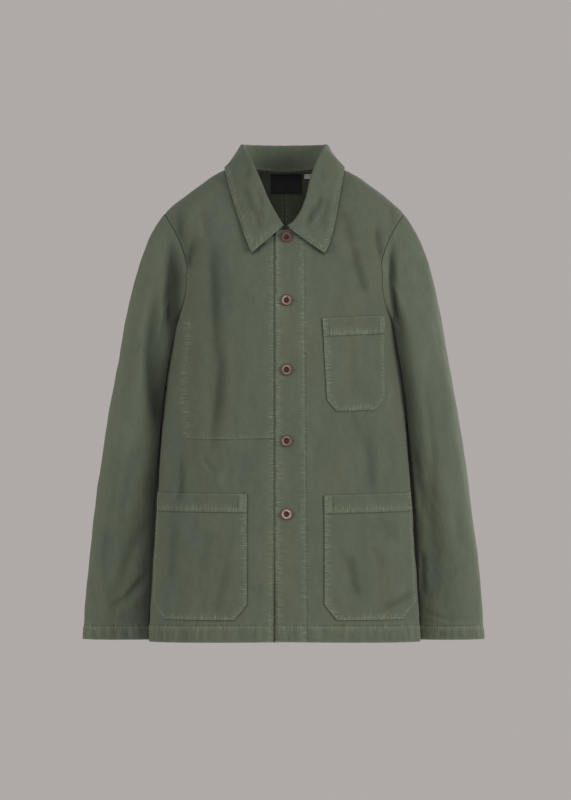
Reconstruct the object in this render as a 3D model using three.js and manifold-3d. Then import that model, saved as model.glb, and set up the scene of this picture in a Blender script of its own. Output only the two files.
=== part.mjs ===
// Chore jacket in the shape it keeps on a wearer, with nobody inside it.
// Millimetres, +Z up, the front faces -Y, the wearer's left is +X.
// The origin is the middle of the neck, level with the back neck seam.
// Every cloth piece is a wall made from points of one torso shape or one sleeve shape.
import * as THREE from 'three';
import { mergeVertices } from 'three/addons/utils/BufferGeometryUtils.js';

const CLOTH = 1.2;
const COLLAR_CLOTH = 2.0;
const SEAM_GAP = 0.3;
const LAYER_GAP = 0.4;
const HEM_Z = -739;
const HEM_RISE = 4.5;
const CUFF_Z = -738;
const UNDERARM_Z = -255;
const SHOULDER_TIP_Z = -68;
const NECK = { sideX: 66, sideZ: 11, frontZ: -96, backZ: -1 };
const RING_POWER = 2.35;
const ARMHOLE = { frontDegrees: 33, backDegrees: 34, roundness: 0.75 };
const OVERLAP = { edgeX: -13.5, underEdgeX: 21, blendX: 24, underGap: 1.1 };
const BUTTON = { x: 3.1, radius: 9, height: 3.2, rim: 2.2, holeRadius: 1.0, holeOffset: 1.9 };
const BUTTON_HEIGHTS = [-108.4, -206.7, -314.3, -424.3, -537.4];

// Torso sections: half width, and depth in front of and behind the side seam, at each height.
const TORSO = [
  { z: -739, half: 213, front: 132, back: 112, seamY: -18 },
  { z: -611, half: 205, front: 131, back: 109, seamY: -14 },
  { z: -470, half: 196, front: 130, back: 108, seamY: -8 },
  { z: -377, half: 189, front: 129, back: 112, seamY: -4 },
  { z: -300, half: 182, front: 127, back: 116, seamY: -1 },
  { z: -255, half: 176, front: 124, back: 117, seamY: 0 },
  { z: -200, half: 173.5, front: 117, back: 116, seamY: 0 },
  { z: -150, half: 176, front: 105, back: 111, seamY: 0 },
  { z: -110, half: 181, front: 91, back: 104, seamY: 0 },
  { z: -84, half: 186.5, front: 79, back: 97, seamY: 0 },
  { z: -68, half: 186.5, front: 70, back: 93, seamY: 0 },
  { z: -57, half: 176, front: 64, back: 88, seamY: 0 },
  { z: -43, half: 159.5, front: 55, back: 82, seamY: 0 },
  { z: -24.3, half: 133.6, front: 43, back: 72, seamY: 0 },
  { z: -5.6, half: 105.3, front: 31, back: 58, seamY: 0 },
  { z: 11, half: 66, front: 10, back: 14, seamY: 0 },
];

// Large soft folds in the torso, as lines in the front view: positive depth is a trough.
const TORSO_FOLDS = [
  { face: -1, x0: -113, z0: -105, x1: -111, z1: -262, width: 14, depth: 3 },
  { face: -1, x0: -111, z0: -225, x1: -111, z1: -425, width: 12, depth: 4.5 },
  { face: -1, x0: -140, z0: -100, x1: -154, z1: -168, width: 10, depth: 3.5 },
  { face: -1, x0: 86, z0: -52, x1: 107, z1: -125, width: 11, depth: 3 },
  { face: -1, x0: 104, z0: -112, x1: 128, z1: -205, width: 11, depth: 3 },
  { face: -1, x0: 139, z0: -82, x1: 158, z1: -165, width: 9, depth: 3.5 },
  { face: -1, x0: 112, z0: -372, x1: 136, z1: -512, width: 12, depth: 3 },
  { face: -1, x0: 92, z0: -575, x1: 118, z1: -680, width: 11, depth: 3 },
  { face: 1, x0: 128, z0: -100, x1: 112, z1: -260, width: 13, depth: 3.5 },
  { face: 1, x0: -126, z0: -105, x1: -114, z1: -270, width: 13, depth: 3.5 },
  { face: 1, x0: 95, z0: -330, x1: 118, z1: -560, width: 16, depth: 3 },
  { face: 1, x0: -90, z0: -350, x1: -108, z1: -600, width: 16, depth: 3 },
];

// Sleeve sections below the armpit: outer edge in the front view, width, depth and place in depth.
// spread is how much further out the right sleeve hangs.
const SLEEVE = [
  { z: -738, outer: 317, spread: 1.5, width: 119, depth: 78, y: 44 },
  { z: -648, outer: 309, spread: 3, width: 115, depth: 94, y: 38 },
  { z: -560, outer: 298.5, spread: 3.5, width: 109, depth: 110, y: 30 },
  { z: -473, outer: 287, spread: 3.5, width: 102, depth: 128, y: 22 },
  { z: -386, outer: 273.8, spread: 3.5, width: 93, depth: 144, y: 14 },
  { z: -300, outer: 258.5, spread: 3, width: 80, depth: 156, y: 8 },
];
const SLEEVE_POWER = 2.2;
const CAP_SHARE = 0.4;
const SLEEVE_CLEARANCE = 5;

// How the sleeve leaves the armhole at its top, front, bottom and back, and how far that carries.
const SLEEVE_HEAD = {
  top: { x: 0.66, y: 0, z: -0.75, start: 200, end: 215 },
  front: { x: 0.72, y: 0.4, z: -0.55, start: 110, end: 120 },
  bottom: { x: 0.45, y: 0, z: -0.89, start: 45, end: 45 },
  back: { x: 0.85, y: 0.1, z: -0.5, start: 110, end: 120 },
};

// Long folds in the sleeves: turn is degrees round the sleeve from its outer line towards the front.
const SLEEVE_FOLDS = [
  { arm: 0, turn0: 100, v0: 0.02, turn1: 128, v1: 0.62, width: 24, depth: 11 },
  { arm: 0, turn0: -105, v0: 0.05, turn1: -125, v1: 0.5, width: 24, depth: 6 },
  { arm: -1, turn0: 105, v0: 0.52, turn1: 50, v1: 0.97, width: 16, depth: 4.5 },
  { arm: -1, turn0: 120, v0: 0.74, turn1: 70, v1: 0.95, width: 13, depth: 3.5 },
  { arm: 1, turn0: 55, v0: 0.38, turn1: 72, v1: 0.72, width: 15, depth: 4.5 },
  { arm: 1, turn0: 98, v0: 0.55, turn1: 112, v1: 0.93, width: 16, depth: 5 },
];

// Collar stations for each side, from the front end (0) to the centre back (1).
// fold is the top line where the stand turns over, edge is the outer edge of the fall.
const COLLAR_LEFT = [
  { s: 0, foldX: 4, foldY: -92, foldZ: -91, edgeX: 60.5, edgeY: -103, edgeZ: -134 },
  { s: 0.1, foldX: 17, foldY: -88, foldZ: -79, edgeX: 66, edgeY: -99, edgeZ: -126 },
  { s: 0.25, foldX: 31, foldY: -79, foldZ: -52, edgeX: 75.5, edgeY: -79, edgeZ: -96 },
  { s: 0.4, foldX: 42, foldY: -59, foldZ: -8, edgeX: 85, edgeY: -51, edgeZ: -46 },
  { s: 0.55, foldX: 59.5, foldY: -25, foldZ: 32, edgeX: 93, edgeY: -12, edgeZ: 3 },
  { s: 0.68, foldX: 64.5, foldY: 6, foldZ: 41, edgeX: 88, edgeY: 34, edgeZ: 0 },
  { s: 0.84, foldX: 40, foldY: 41, foldZ: 41.5, edgeX: 52, edgeY: 68, edgeZ: -14 },
  { s: 1, foldX: 0, foldY: 51, foldZ: 41.5, edgeX: 0, edgeY: 78, edgeZ: -20 },
];
const COLLAR_RIGHT = [
  { s: 0, foldX: 0, foldY: -92, foldZ: -91, edgeX: 49, edgeY: -105, edgeZ: -134 },
  { s: 0.1, foldX: 8, foldY: -88, foldZ: -78, edgeX: 55, edgeY: -99, edgeZ: -122 },
  { s: 0.25, foldX: 24, foldY: -78, foldZ: -49, edgeX: 69, edgeY: -78, edgeZ: -84 },
  { s: 0.4, foldX: 42, foldY: -58, foldZ: -6, edgeX: 82, edgeY: -51, edgeZ: -42 },
  { s: 0.55, foldX: 59.5, foldY: -25, foldZ: 32, edgeX: 93, edgeY: -12, edgeZ: 3 },
  { s: 0.68, foldX: 64.5, foldY: 6, foldZ: 41, edgeX: 88, edgeY: 34, edgeZ: 0 },
  { s: 0.84, foldX: 40, foldY: 41, foldZ: 41.5, edgeX: 52, edgeY: 68, edgeZ: -14 },
  { s: 1, foldX: 0, foldY: 51, foldZ: 41.5, edgeX: 0, edgeY: 78, edgeZ: -20 },
];
const COLLAR_FRONT_SHARE = 0.6;
const COLLAR_TURN = 1.7;
const FALL_CLEARANCE = 2.2;

// Patch pockets in the front view: the corners' places, and how far the lower corners are cut off.
const POCKETS = {
  chest: {
    topLeft: [59, -235], topRight: [154, -230], bottomRight: [154, -376], bottomLeft: [67, -378],
    cut: 17, band: 29, lift: 1.8, fine: true,
  },
  left: {
    topLeft: [62, -509], topRight: [194, -506], bottomRight: [203.5, -701], bottomLeft: [62, -701],
    cut: 24, band: 29, lift: 1.3, fine: false,
  },
  right: {
    topLeft: [-195, -506], topRight: [-58.5, -507], bottomRight: [-58.5, -701], bottomLeft: [-204.5, -701],
    cut: 24, band: 29, lift: 1.3, fine: false,
  },
};
const POCKET_BAND_RISE = 0.9;

// The label and the size tab inside the back neck.
const NECK_LABEL = { left: -21.5, right: 26, top: -5, bottom: -33, thickness: 0.8, gap: 1.0 };
const SIZE_TAB = { left: 31.5, right: 42.5, top: -4, bottom: -10, thickness: 0.5, gap: 0.45 };
const PATCH_STEPS = 8;

const COLOURS = {
  cloth: 0x5a6350, collar: 0x5c6552, pocket: 0x5d6653, button: 0x7a5450, label: 0x17181a, tab: 0xe8e6e0,
};

const clamp = (v, low, high) => Math.min(high, Math.max(low, v));
const mix = (a, b, t) => a + (b - a) * t;
const ease = (t) => { const c = clamp(t, 0, 1); return c * c * (3 - 2 * c); };
const radians = THREE.MathUtils.degToRad;

// A smooth line through one column of a table that never swings past its rows.
function profile(rows, key, column) {
  const x = rows.map((row) => row[key]);
  const y = rows.map((row) => row[column]);
  const secant = x.slice(1).map((_, i) => (y[i + 1] - y[i]) / (x[i + 1] - x[i]));
  const slope = x.map((_, i) => {
    if (i === 0) return secant[0];
    if (i === x.length - 1) return secant[i - 1];
    if (secant[i - 1] * secant[i] <= 0) return 0;
    return (2 * secant[i - 1] * secant[i]) / (secant[i - 1] + secant[i]);
  });
  return (at) => {
    const here = clamp(at, x[0], x[x.length - 1]);
    let i = 0;
    while (i < x.length - 2 && here > x[i + 1]) i += 1;
    const step = x[i + 1] - x[i];
    const t = (here - x[i]) / step;
    return (1 + 2 * t) * (1 - t) ** 2 * y[i] + t * (1 - t) ** 2 * step * slope[i]
      + t * t * (3 - 2 * t) * y[i + 1] + t * t * (t - 1) * step * slope[i + 1];
  };
}

function hermite(p0, t0, p1, t1, t) {
  return new THREE.Vector3()
    .addScaledVector(p0, (1 + 2 * t) * (1 - t) ** 2)
    .addScaledVector(t0, t * (1 - t) ** 2)
    .addScaledVector(p1, t * t * (3 - 2 * t))
    .addScaledVector(t1, t * t * (t - 1));
}

const half = profile(TORSO, 'z', 'half');
const frontDepth = profile(TORSO, 'z', 'front');
const backDepth = profile(TORSO, 'z', 'back');
const seamY = profile(TORSO, 'z', 'seamY');
const depthOf = (face, z) => (face < 0 ? frontDepth(z) : backDepth(z));

const ringRadius = (turn, power) => (
  (Math.abs(Math.sin(turn)) ** power + Math.abs(Math.cos(turn)) ** power) ** (-1 / power)
);

// The turn round a torso section, 0 at the centre line and a quarter turn at the side, for a given x.
function turnAt(x, z) {
  const share = clamp(Math.abs(x) / half(z), 0, 1);
  return Math.sign(x) * Math.atan2(share, (1 - share ** RING_POWER) ** (1 / RING_POWER));
}

function smoothTorso(face, turn, z) {
  const r = ringRadius(turn, RING_POWER);
  const x = half(z) * Math.sin(turn) * r;
  return new THREE.Vector3(x, seamY(z) + face * depthOf(face, z) * Math.cos(turn) * r, z);
}

function foldHeight(face, x, z, turn) {
  const sideFade = ease((Math.PI / 2 - Math.abs(turn)) / 0.22);
  let height = 0;
  for (const f of TORSO_FOLDS) {
    if (f.face !== face) continue;
    const dx = f.x1 - f.x0;
    const dz = f.z1 - f.z0;
    const length = Math.hypot(dx, dz);
    const along = ((x - f.x0) * dx + (z - f.z0) * dz) / length ** 2;
    const away = ((x - f.x0) * dz - (z - f.z0) * dx) / length;
    const taper = ease(along / 0.25) * ease((1 - along) / 0.25);
    height -= f.depth * taper * Math.exp(-((away / f.width) ** 2));
  }
  return height * sideFade;
}

function smoothNormal(face, turn, z) {
  const step = 0.004;
  const across = smoothTorso(face, turn + step, z).sub(smoothTorso(face, turn - step, z));
  const up = smoothTorso(face, turn, z + 0.5).sub(smoothTorso(face, turn, z - 0.5));
  return across.cross(up).multiplyScalar(-face).normalize();
}

// A point of the torso's outer face, lifted off it, and the direction out of the cloth there.
function torso(face, turn, z, lift = 0) {
  const normal = smoothNormal(face, turn, z);
  const point = smoothTorso(face, turn, z);
  point.addScaledVector(normal, foldHeight(face, point.x, z, turn) + lift);
  return { point, normal };
}

// How far a point is outside the torso's smooth shape, near enough for clearances.
function outsideTorso(p) {
  const level = (x, y, z) => {
    const face = y < seamY(z) ? -1 : 1;
    const a = Math.abs(x) / half(z);
    const b = Math.abs(y - seamY(z)) / depthOf(face, z);
    return (a ** RING_POWER + b ** RING_POWER) ** (1 / RING_POWER);
  };
  const e = 0.5;
  const gx = (level(p.x + e, p.y, p.z) - level(p.x - e, p.y, p.z)) / (2 * e);
  const gy = (level(p.x, p.y + e, p.z) - level(p.x, p.y - e, p.z)) / (2 * e);
  const gz = (level(p.x, p.y, p.z + e) - level(p.x, p.y, p.z - e)) / (2 * e);
  const gradient = new THREE.Vector3(gx, gy, gz);
  return { distance: (level(p.x, p.y, p.z) - 1) / gradient.length(), out: gradient.normalize() };
}

// The armhole's place on the torso: turn 0 is the shoulder point, a quarter turn the front.
function armholeAt(turn) {
  const z = mix(UNDERARM_Z, SHOULDER_TIP_Z, (1 + Math.cos(turn)) / 2);
  const degrees = Math.sin(turn) >= 0 ? ARMHOLE.frontDegrees : ARMHOLE.backDegrees;
  const inward = radians(degrees) * Math.abs(Math.sin(turn)) ** ARMHOLE.roundness;
  return { face: Math.sin(turn) >= 0 ? -1 : 1, turn: Math.PI / 2 - inward, z };
}

function armholePoint(arm, turn) {
  const at = armholeAt(turn);
  return torso(at.face, arm * at.turn, at.z).point;
}

const sleeveOuter = profile(SLEEVE, 'z', 'outer');
const sleeveSpread = profile(SLEEVE, 'z', 'spread');
const sleeveWidth = profile(SLEEVE, 'z', 'width');
const sleeveDepth = profile(SLEEVE, 'z', 'depth');
const sleeveY = profile(SLEEVE, 'z', 'y');
const CAP_END_Z = SLEEVE[SLEEVE.length - 1].z;

function sleeveSection(arm, turn, z) {
  const r = ringRadius(turn, SLEEVE_POWER);
  const middle = sleeveOuter(z) - sleeveWidth(z) / 2 + (arm < 0 ? sleeveSpread(z) : 0);
  const x = middle + (sleeveWidth(z) / 2) * Math.cos(turn) * r;
  return new THREE.Vector3(arm * x, sleeveY(z) - (sleeveDepth(z) / 2) * Math.sin(turn) * r, z);
}

function headValue(turn, name) {
  const c = Math.cos(turn);
  const s = Math.sin(turn);
  return SLEEVE_HEAD[c > 0 ? 'top' : 'bottom'][name] * c * c
    + SLEEVE_HEAD[s > 0 ? 'front' : 'back'][name] * s * s;
}

function sleeveLeaving(arm, turn) {
  return new THREE.Vector3(arm * headValue(turn, 'x'), headValue(turn, 'y'), headValue(turn, 'z')).normalize();
}

function smoothSleeve(arm, turn, v) {
  if (v >= CAP_SHARE) return sleeveSection(arm, turn, mix(CAP_END_Z, CUFF_Z, (v - CAP_SHARE) / (1 - CAP_SHARE)));
  const start = armholePoint(arm, turn);
  const end = sleeveSection(arm, turn, CAP_END_Z);
  const below = sleeveSection(arm, turn, CAP_END_Z - 10).sub(end).normalize();
  const startTangent = sleeveLeaving(arm, turn).multiplyScalar(headValue(turn, 'start'));
  return hermite(start, startTangent, end, below.multiplyScalar(headValue(turn, 'end')), v / CAP_SHARE);
}

function sleeveFold(arm, turn, v) {
  let height = 0;
  for (const f of SLEEVE_FOLDS) {
    if (f.arm !== 0 && f.arm !== arm) continue;
    const along = (v - f.v0) / (f.v1 - f.v0);
    const centre = radians(mix(f.turn0, f.turn1, clamp(along, 0, 1)));
    const away = Math.atan2(Math.sin(turn - centre), Math.cos(turn - centre)) / radians(f.width);
    height -= f.depth * ease(along / 0.3) * ease((1 - along) / 0.3) * Math.exp(-(away ** 2));
  }
  return height;
}

function sleeveNormal(arm, turn, v) {
  const step = 0.01;
  const round = smoothSleeve(arm, turn + step, v).sub(smoothSleeve(arm, turn - step, v));
  const down = smoothSleeve(arm, turn, Math.min(1, v + step)).sub(smoothSleeve(arm, turn, Math.max(0, v - step)));
  return round.cross(down).multiplyScalar(arm).normalize();
}

function sleeve(arm, turn, v) {
  const normal = sleeveNormal(arm, turn, v);
  const point = smoothSleeve(arm, turn, v).addScaledVector(normal, sleeveFold(arm, turn, v));
  if (v > 0.02) {
    const room = outsideTorso(point);
    const need = SLEEVE_CLEARANCE * ease(v / 0.3);
    if (room.distance < need) point.x += arm * (need - room.distance);
  }
  return { point, normal };
}

// At the armhole both pieces share one direction out of the cloth, so that their edges meet squarely.
function armholeSeam(arm, turn) {
  const at = armholeAt(turn);
  const body = torso(at.face, arm * at.turn, at.z);
  const step = 0.02;
  const tangent = armholePoint(arm, turn + step).sub(armholePoint(arm, turn - step)).normalize();
  const leaving = sleeveLeaving(arm, turn);
  const sleeveOut = tangent.clone().cross(leaving).multiplyScalar(arm).normalize();
  const normal = body.normal.clone().add(sleeveOut).normalize();
  const across = tangent.clone().cross(normal).multiplyScalar(-arm).normalize();
  normal.divideScalar(Math.max(0.6, normal.dot(body.normal)));
  return { point: body.point, normal, across };
}

// A closed wall from a grid of cells, each with a point and the direction out of the cloth.
// wrap joins the last column to the first, for a tube.
function wallGeometry(grid, thickness, wrap = false) {
  const rows = grid.length;
  const columns = grid[0].length;
  const positions = [];
  for (const inner of [0, 1]) {
    for (const row of grid) {
      for (const cell of row) {
        const p = cell.point.clone().addScaledVector(cell.normal, -inner * thickness);
        positions.push(p.x, p.y, p.z);
      }
    }
  }
  const index = [];
  const id = (inner, i, j) => inner * rows * columns + i * columns + (j % columns);
  const quad = (a, b, c, d) => index.push(a, b, c, a, c, d);
  const spans = wrap ? columns : columns - 1;
  for (let i = 0; i < rows - 1; i += 1) {
    for (let j = 0; j < spans; j += 1) {
      quad(id(0, i, j), id(0, i, j + 1), id(0, i + 1, j + 1), id(0, i + 1, j));
      quad(id(1, i, j), id(1, i + 1, j), id(1, i + 1, j + 1), id(1, i, j + 1));
    }
  }
  for (let j = 0; j < spans; j += 1) {
    quad(id(0, 0, j), id(1, 0, j), id(1, 0, j + 1), id(0, 0, j + 1));
    quad(id(0, rows - 1, j), id(0, rows - 1, j + 1), id(1, rows - 1, j + 1), id(1, rows - 1, j));
  }
  if (!wrap) {
    for (let i = 0; i < rows - 1; i += 1) {
      quad(id(0, i, 0), id(0, i + 1, 0), id(1, i + 1, 0), id(1, i, 0));
      quad(id(0, i, columns - 1), id(1, i, columns - 1), id(1, i + 1, columns - 1), id(0, i + 1, columns - 1));
    }
  }
  const geometry = new THREE.BufferGeometry();
  geometry.setAttribute('position', new THREE.Float32BufferAttribute(positions, 3));
  geometry.setIndex(index);
  return facingOut(mergeVertices(geometry, 1e-4));
}

// Turns a closed geometry's faces out if they point in.
function facingOut(geometry) {
  const p = geometry.getAttribute('position');
  const index = geometry.getIndex().array;
  const corner = (k) => new THREE.Vector3().fromBufferAttribute(p, index[k]);
  let volume = 0;
  for (let k = 0; k < index.length; k += 3) volume += corner(k).dot(corner(k + 1).cross(corner(k + 2)));
  if (volume < 0) {
    for (let k = 0; k < index.length; k += 3) [index[k + 1], index[k + 2]] = [index[k + 2], index[k + 1]];
  }
  geometry.computeVertexNormals();
  return geometry;
}

// The neck seam on the torso for one side: s 0 at the centre front, 1 at the centre back.
function neckSeam(side, s) {
  if (s <= COLLAR_FRONT_SHARE) {
    const angle = (Math.PI / 2) * (s / COLLAR_FRONT_SHARE);
    const x = NECK.sideX * Math.sin(angle);
    const z = NECK.sideZ - (NECK.sideZ - NECK.frontZ) * Math.cos(angle);
    return { face: -1, turn: turnAt(side * x, z), z };
  }
  const angle = (Math.PI / 2) * ((1 - s) / (1 - COLLAR_FRONT_SHARE));
  const x = NECK.sideX * Math.sin(angle);
  const z = NECK.sideZ - (NECK.sideZ - NECK.backZ) * Math.cos(angle);
  return { face: 1, turn: turnAt(side * x, z), z };
}

const PANEL = { sideRows: 15, armholeRows: 14, frontNeckRow: 6, backNeckRow: 9 };
const PANEL_COLUMNS = [0, 0.04, 0.09, 0.16, 0.24, 0.32, 0.4, 0.48, 0.56, 0.64, 0.73, 0.82, 0.91, 1];

// The outer boundary of a body panel at row i: up the side seam, then round the armhole.
function panelSide(face, i) {
  if (i <= PANEL.sideRows) return { turn: Math.PI / 2, z: mix(HEM_Z, UNDERARM_Z, i / PANEL.sideRows), armhole: null };
  const armhole = -face * Math.PI * (1 - (i - PANEL.sideRows) / PANEL.armholeRows);
  const at = armholeAt(armhole);
  return { turn: at.turn, z: at.z, armhole };
}

// The inner boundary at row i: up the front edge or the centre back, then round the neck.
function panelMiddle(face, side, edgeX, i) {
  const neckRow = face < 0 ? PANEL.frontNeckRow : PANEL.backNeckRow;
  const top = face < 0 ? NECK.frontZ : NECK.backZ;
  const k = i - PANEL.sideRows;
  if (k > neckRow) return neckSeam(side, neckStations(face)[k - neckRow]);
  let z = k <= 0 ? mix(HEM_Z, UNDERARM_Z, i / PANEL.sideRows) : mix(top, UNDERARM_Z, (1 - k / neckRow) ** 1.4);
  if (i === 0 && face < 0) z += HEM_RISE;
  return { turn: turnAt(edgeX, z), z };
}

// Where the panels' rows meet the neck seam, from the panel's own centre line to the shoulder seam.
function neckStations(face) {
  const count = PANEL.armholeRows - (face < 0 ? PANEL.frontNeckRow : PANEL.backNeckRow);
  const stations = [];
  for (let k = 0; k <= count; k += 1) {
    stations.push(face < 0 ? (COLLAR_FRONT_SHARE * k) / count : 1 - ((1 - COLLAR_FRONT_SHARE) * k) / count);
  }
  return stations;
}

// A front or back panel: its rows from the hem up, each with a grid of points from the middle to the side.
function bodyPanel(face, side, edgeX, liftAt = () => 0) {
  const rows = [];
  const grid = [];
  for (let i = 0; i <= PANEL.sideRows + PANEL.armholeRows; i += 1) {
    const outer = panelSide(face, i);
    const inner = panelMiddle(face, side, edgeX, i);
    rows.push({ innerTurn: inner.turn, innerZ: inner.z, outerTurn: side * outer.turn, outerZ: outer.z });
    grid.push(PANEL_COLUMNS.map((u) => {
      if (u === 1 && outer.armhole !== null) {
        const seam = armholeSeam(side, outer.armhole);
        return { point: seam.point.addScaledVector(seam.across, -SEAM_GAP / 2), normal: seam.normal };
      }
      const turn = mix(inner.turn, side * outer.turn, u);
      const z = mix(inner.z, outer.z, u);
      return torso(face, turn, z, liftAt(smoothTorso(face, turn, z).x, z));
    }));
  }
  return { face, rows, grid: seamGaps(grid, face) };
}

// A point of a panel's own faceted outer face, given z and either x or the share u across the panel.
function onPanel(panel, { x, u, z }, lift) {
  const share = (i) => {
    const row = panel.rows[Math.min(Math.floor(i), panel.rows.length - 2)];
    const next = panel.rows[Math.min(Math.floor(i), panel.rows.length - 2) + 1];
    const t = i - Math.min(Math.floor(i), panel.rows.length - 2);
    const innerTurn = mix(row.innerTurn, next.innerTurn, t);
    const outerTurn = mix(row.outerTurn, next.outerTurn, t);
    const across = u ?? (turnAt(x, z) - innerTurn) / (outerTurn - innerTurn);
    return { across, height: mix(mix(row.innerZ, next.innerZ, t), mix(row.outerZ, next.outerZ, t), across) };
  };
  let low = 0;
  let high = panel.rows.length - 1;
  for (let k = 0; k < 40; k += 1) {
    const middle = (low + high) / 2;
    if (share(middle).height < z) low = middle;
    else high = middle;
  }
  const across = clamp(share(low).across, 0, 1);
  const i = Math.min(Math.floor(low), panel.rows.length - 2);
  let j = 0;
  while (j < PANEL_COLUMNS.length - 2 && across > PANEL_COLUMNS[j + 1]) j += 1;
  const s = low - i;
  const t = (across - PANEL_COLUMNS[j]) / (PANEL_COLUMNS[j + 1] - PANEL_COLUMNS[j]);
  const [a, b, c, d] = [panel.grid[i][j], panel.grid[i][j + 1], panel.grid[i + 1][j + 1], panel.grid[i + 1][j]];
  const weights = t >= s ? [[a, 1 - t], [b, t - s], [c, s]] : [[a, 1 - s], [c, t], [d, s - t]];
  const point = new THREE.Vector3();
  const normal = new THREE.Vector3();
  for (const [cell, weight] of weights) {
    point.addScaledVector(cell.point, weight);
    normal.addScaledVector(cell.normal, weight);
  }
  normal.normalize();
  return { point: point.addScaledVector(normal, lift), normal, across };
}

// Draws the side seam, shoulder seam and centre back edges half a seam gap back into the panel.
function seamGaps(grid, face) {
  const pull = (cell, towards) => {
    const way = towards.point.clone().sub(cell.point).normalize();
    cell.point = cell.point.clone().addScaledVector(way, SEAM_GAP / 2);
  };
  const last = grid[0].length - 1;
  const top = grid.length - 1;
  for (let i = 0; i <= PANEL.sideRows; i += 1) pull(grid[i][last], grid[i][last - 1]);
  for (let j = 0; j <= last; j += 1) pull(grid[top][j], grid[top - 1][j]);
  if (face > 0) {
    for (let i = 0; i <= PANEL.sideRows + PANEL.backNeckRow; i += 1) pull(grid[i][0], grid[i][1]);
  }
  return grid;
}

// The right front runs under the left one, so it steps in by one layer near the centre.
function underLift(x) {
  return -(CLOTH + OVERLAP.underGap) * ease((x - OVERLAP.edgeX + OVERLAP.blendX) / OVERLAP.blendX);
}

const SLEEVE_ROWS = 18;

// The sleeve's first ring uses the armhole's own points, and every row has the same turns.
function sleeveGrid(arm) {
  const turns = [];
  for (let k = 0; k < PANEL.armholeRows * 2; k += 1) turns.push((Math.PI * k) / PANEL.armholeRows);
  const grid = [];
  for (let i = 0; i <= SLEEVE_ROWS; i += 1) {
    const share = i / SLEEVE_ROWS;
    grid.push(turns.map((turn) => {
      if (i > 0) return sleeve(arm, turn, share);
      const seam = armholeSeam(arm, turn);
      return { point: seam.point.addScaledVector(seam.across, SEAM_GAP / 2), normal: seam.normal };
    }));
  }
  return grid;
}

const COLLAR_START = 0.02;
const FALL_STEPS = 5;

// One cross-section of the collar, from the neck seam up the stand, over the fold and down the fall.
function collarSection(side, s, table) {
  const value = (name, at) => profile(table, 's', name)(at);
  const foldAt = (at) => new THREE.Vector3(side * value('foldX', at), value('foldY', at), value('foldZ', at));
  const at = neckSeam(side, s);
  const seam = torso(at.face, at.turn, at.z).point;
  const fold = foldAt(s);
  const edge = new THREE.Vector3(side * value('edgeX', s), value('edgeY', s), value('edgeZ', s));
  const up = fold.clone().sub(seam).normalize();
  const along = foldAt(Math.min(1, s + 0.02)).sub(foldAt(Math.max(0, s - 0.02)));
  if (s >= 0.98) along.set(-side, 0, 0);
  const outward = along.cross(up).multiplyScalar(side).normalize();
  const top = fold.clone().addScaledVector(up, -(COLLAR_TURN + COLLAR_CLOTH));
  const path = [seam.clone().addScaledVector(up, SEAM_GAP * 1.6), seam.clone().lerp(top, 0.5)];
  const around = top.clone().addScaledVector(outward, COLLAR_TURN);
  for (const turn of [180, 135, 90, 45]) {
    path.push(around.clone()
      .addScaledVector(outward, Math.cos(radians(turn)) * COLLAR_TURN)
      .addScaledVector(up, Math.sin(radians(turn)) * COLLAR_TURN));
  }
  const fallTop = around.clone().addScaledVector(outward, COLLAR_TURN);
  const bow = fallTop.clone().lerp(edge, 0.45).addScaledVector(outward, 3.5);
  for (let k = 0; k <= FALL_STEPS; k += 1) {
    const t = k / FALL_STEPS;
    path.push(fallTop.clone().multiplyScalar((1 - t) ** 2)
      .addScaledVector(bow, 2 * t * (1 - t)).addScaledVector(edge, t * t));
  }
  return path.map((p, k) => (k > 6 ? clearOfTorso(p) : p));
}

function clearOfTorso(p) {
  const room = outsideTorso(p);
  if (room.distance >= FALL_CLEARANCE) return p;
  return p.clone().addScaledVector(room.out, FALL_CLEARANCE - room.distance);
}

function collarGrid() {
  const stations = [...neckStations(-1), ...neckStations(1).reverse().slice(1)];
  stations[0] = COLLAR_START;
  const sections = stations.map((s) => collarSection(-1, s, COLLAR_RIGHT));
  for (const s of [...stations].reverse().slice(1)) sections.push(collarSection(1, s, COLLAR_LEFT));
  return sections.map((path, i) => path.map((point, k) => {
    const before = sections[Math.max(0, i - 1)][k];
    const after = sections[Math.min(sections.length - 1, i + 1)][k];
    const below = path[Math.max(0, k - 1)];
    const above = path[Math.min(path.length - 1, k + 1)];
    const round = after.clone().sub(before);
    const normal = above.clone().sub(below).cross(round).normalize();
    return { point, normal };
  }));
}

const POCKET_STEP = 2.4;

// The heights of a pocket's rows, top down, with the panel's own rows among them.
function pocketShares(pocket, height) {
  const band = pocket.band / height;
  const own = [0, band / 3, (2 * band) / 3, band, band + 2 / height, 1 - pocket.cut / height, 1 - pocket.cut / height / 2, 1];
  const shares = [...own];
  for (let i = 1; i < PANEL.sideRows; i += 1) {
    const share = (pocket.topLeft[1] - mix(HEM_Z, UNDERARM_Z, i / PANEL.sideRows)) / height;
    const nearest = Math.min(...own.map((o) => Math.abs(o - share)));
    if (share > 0 && share < 1 && nearest > POCKET_STEP / height) shares.push(share);
  }
  return shares.sort((a, b) => a - b);
}

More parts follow.
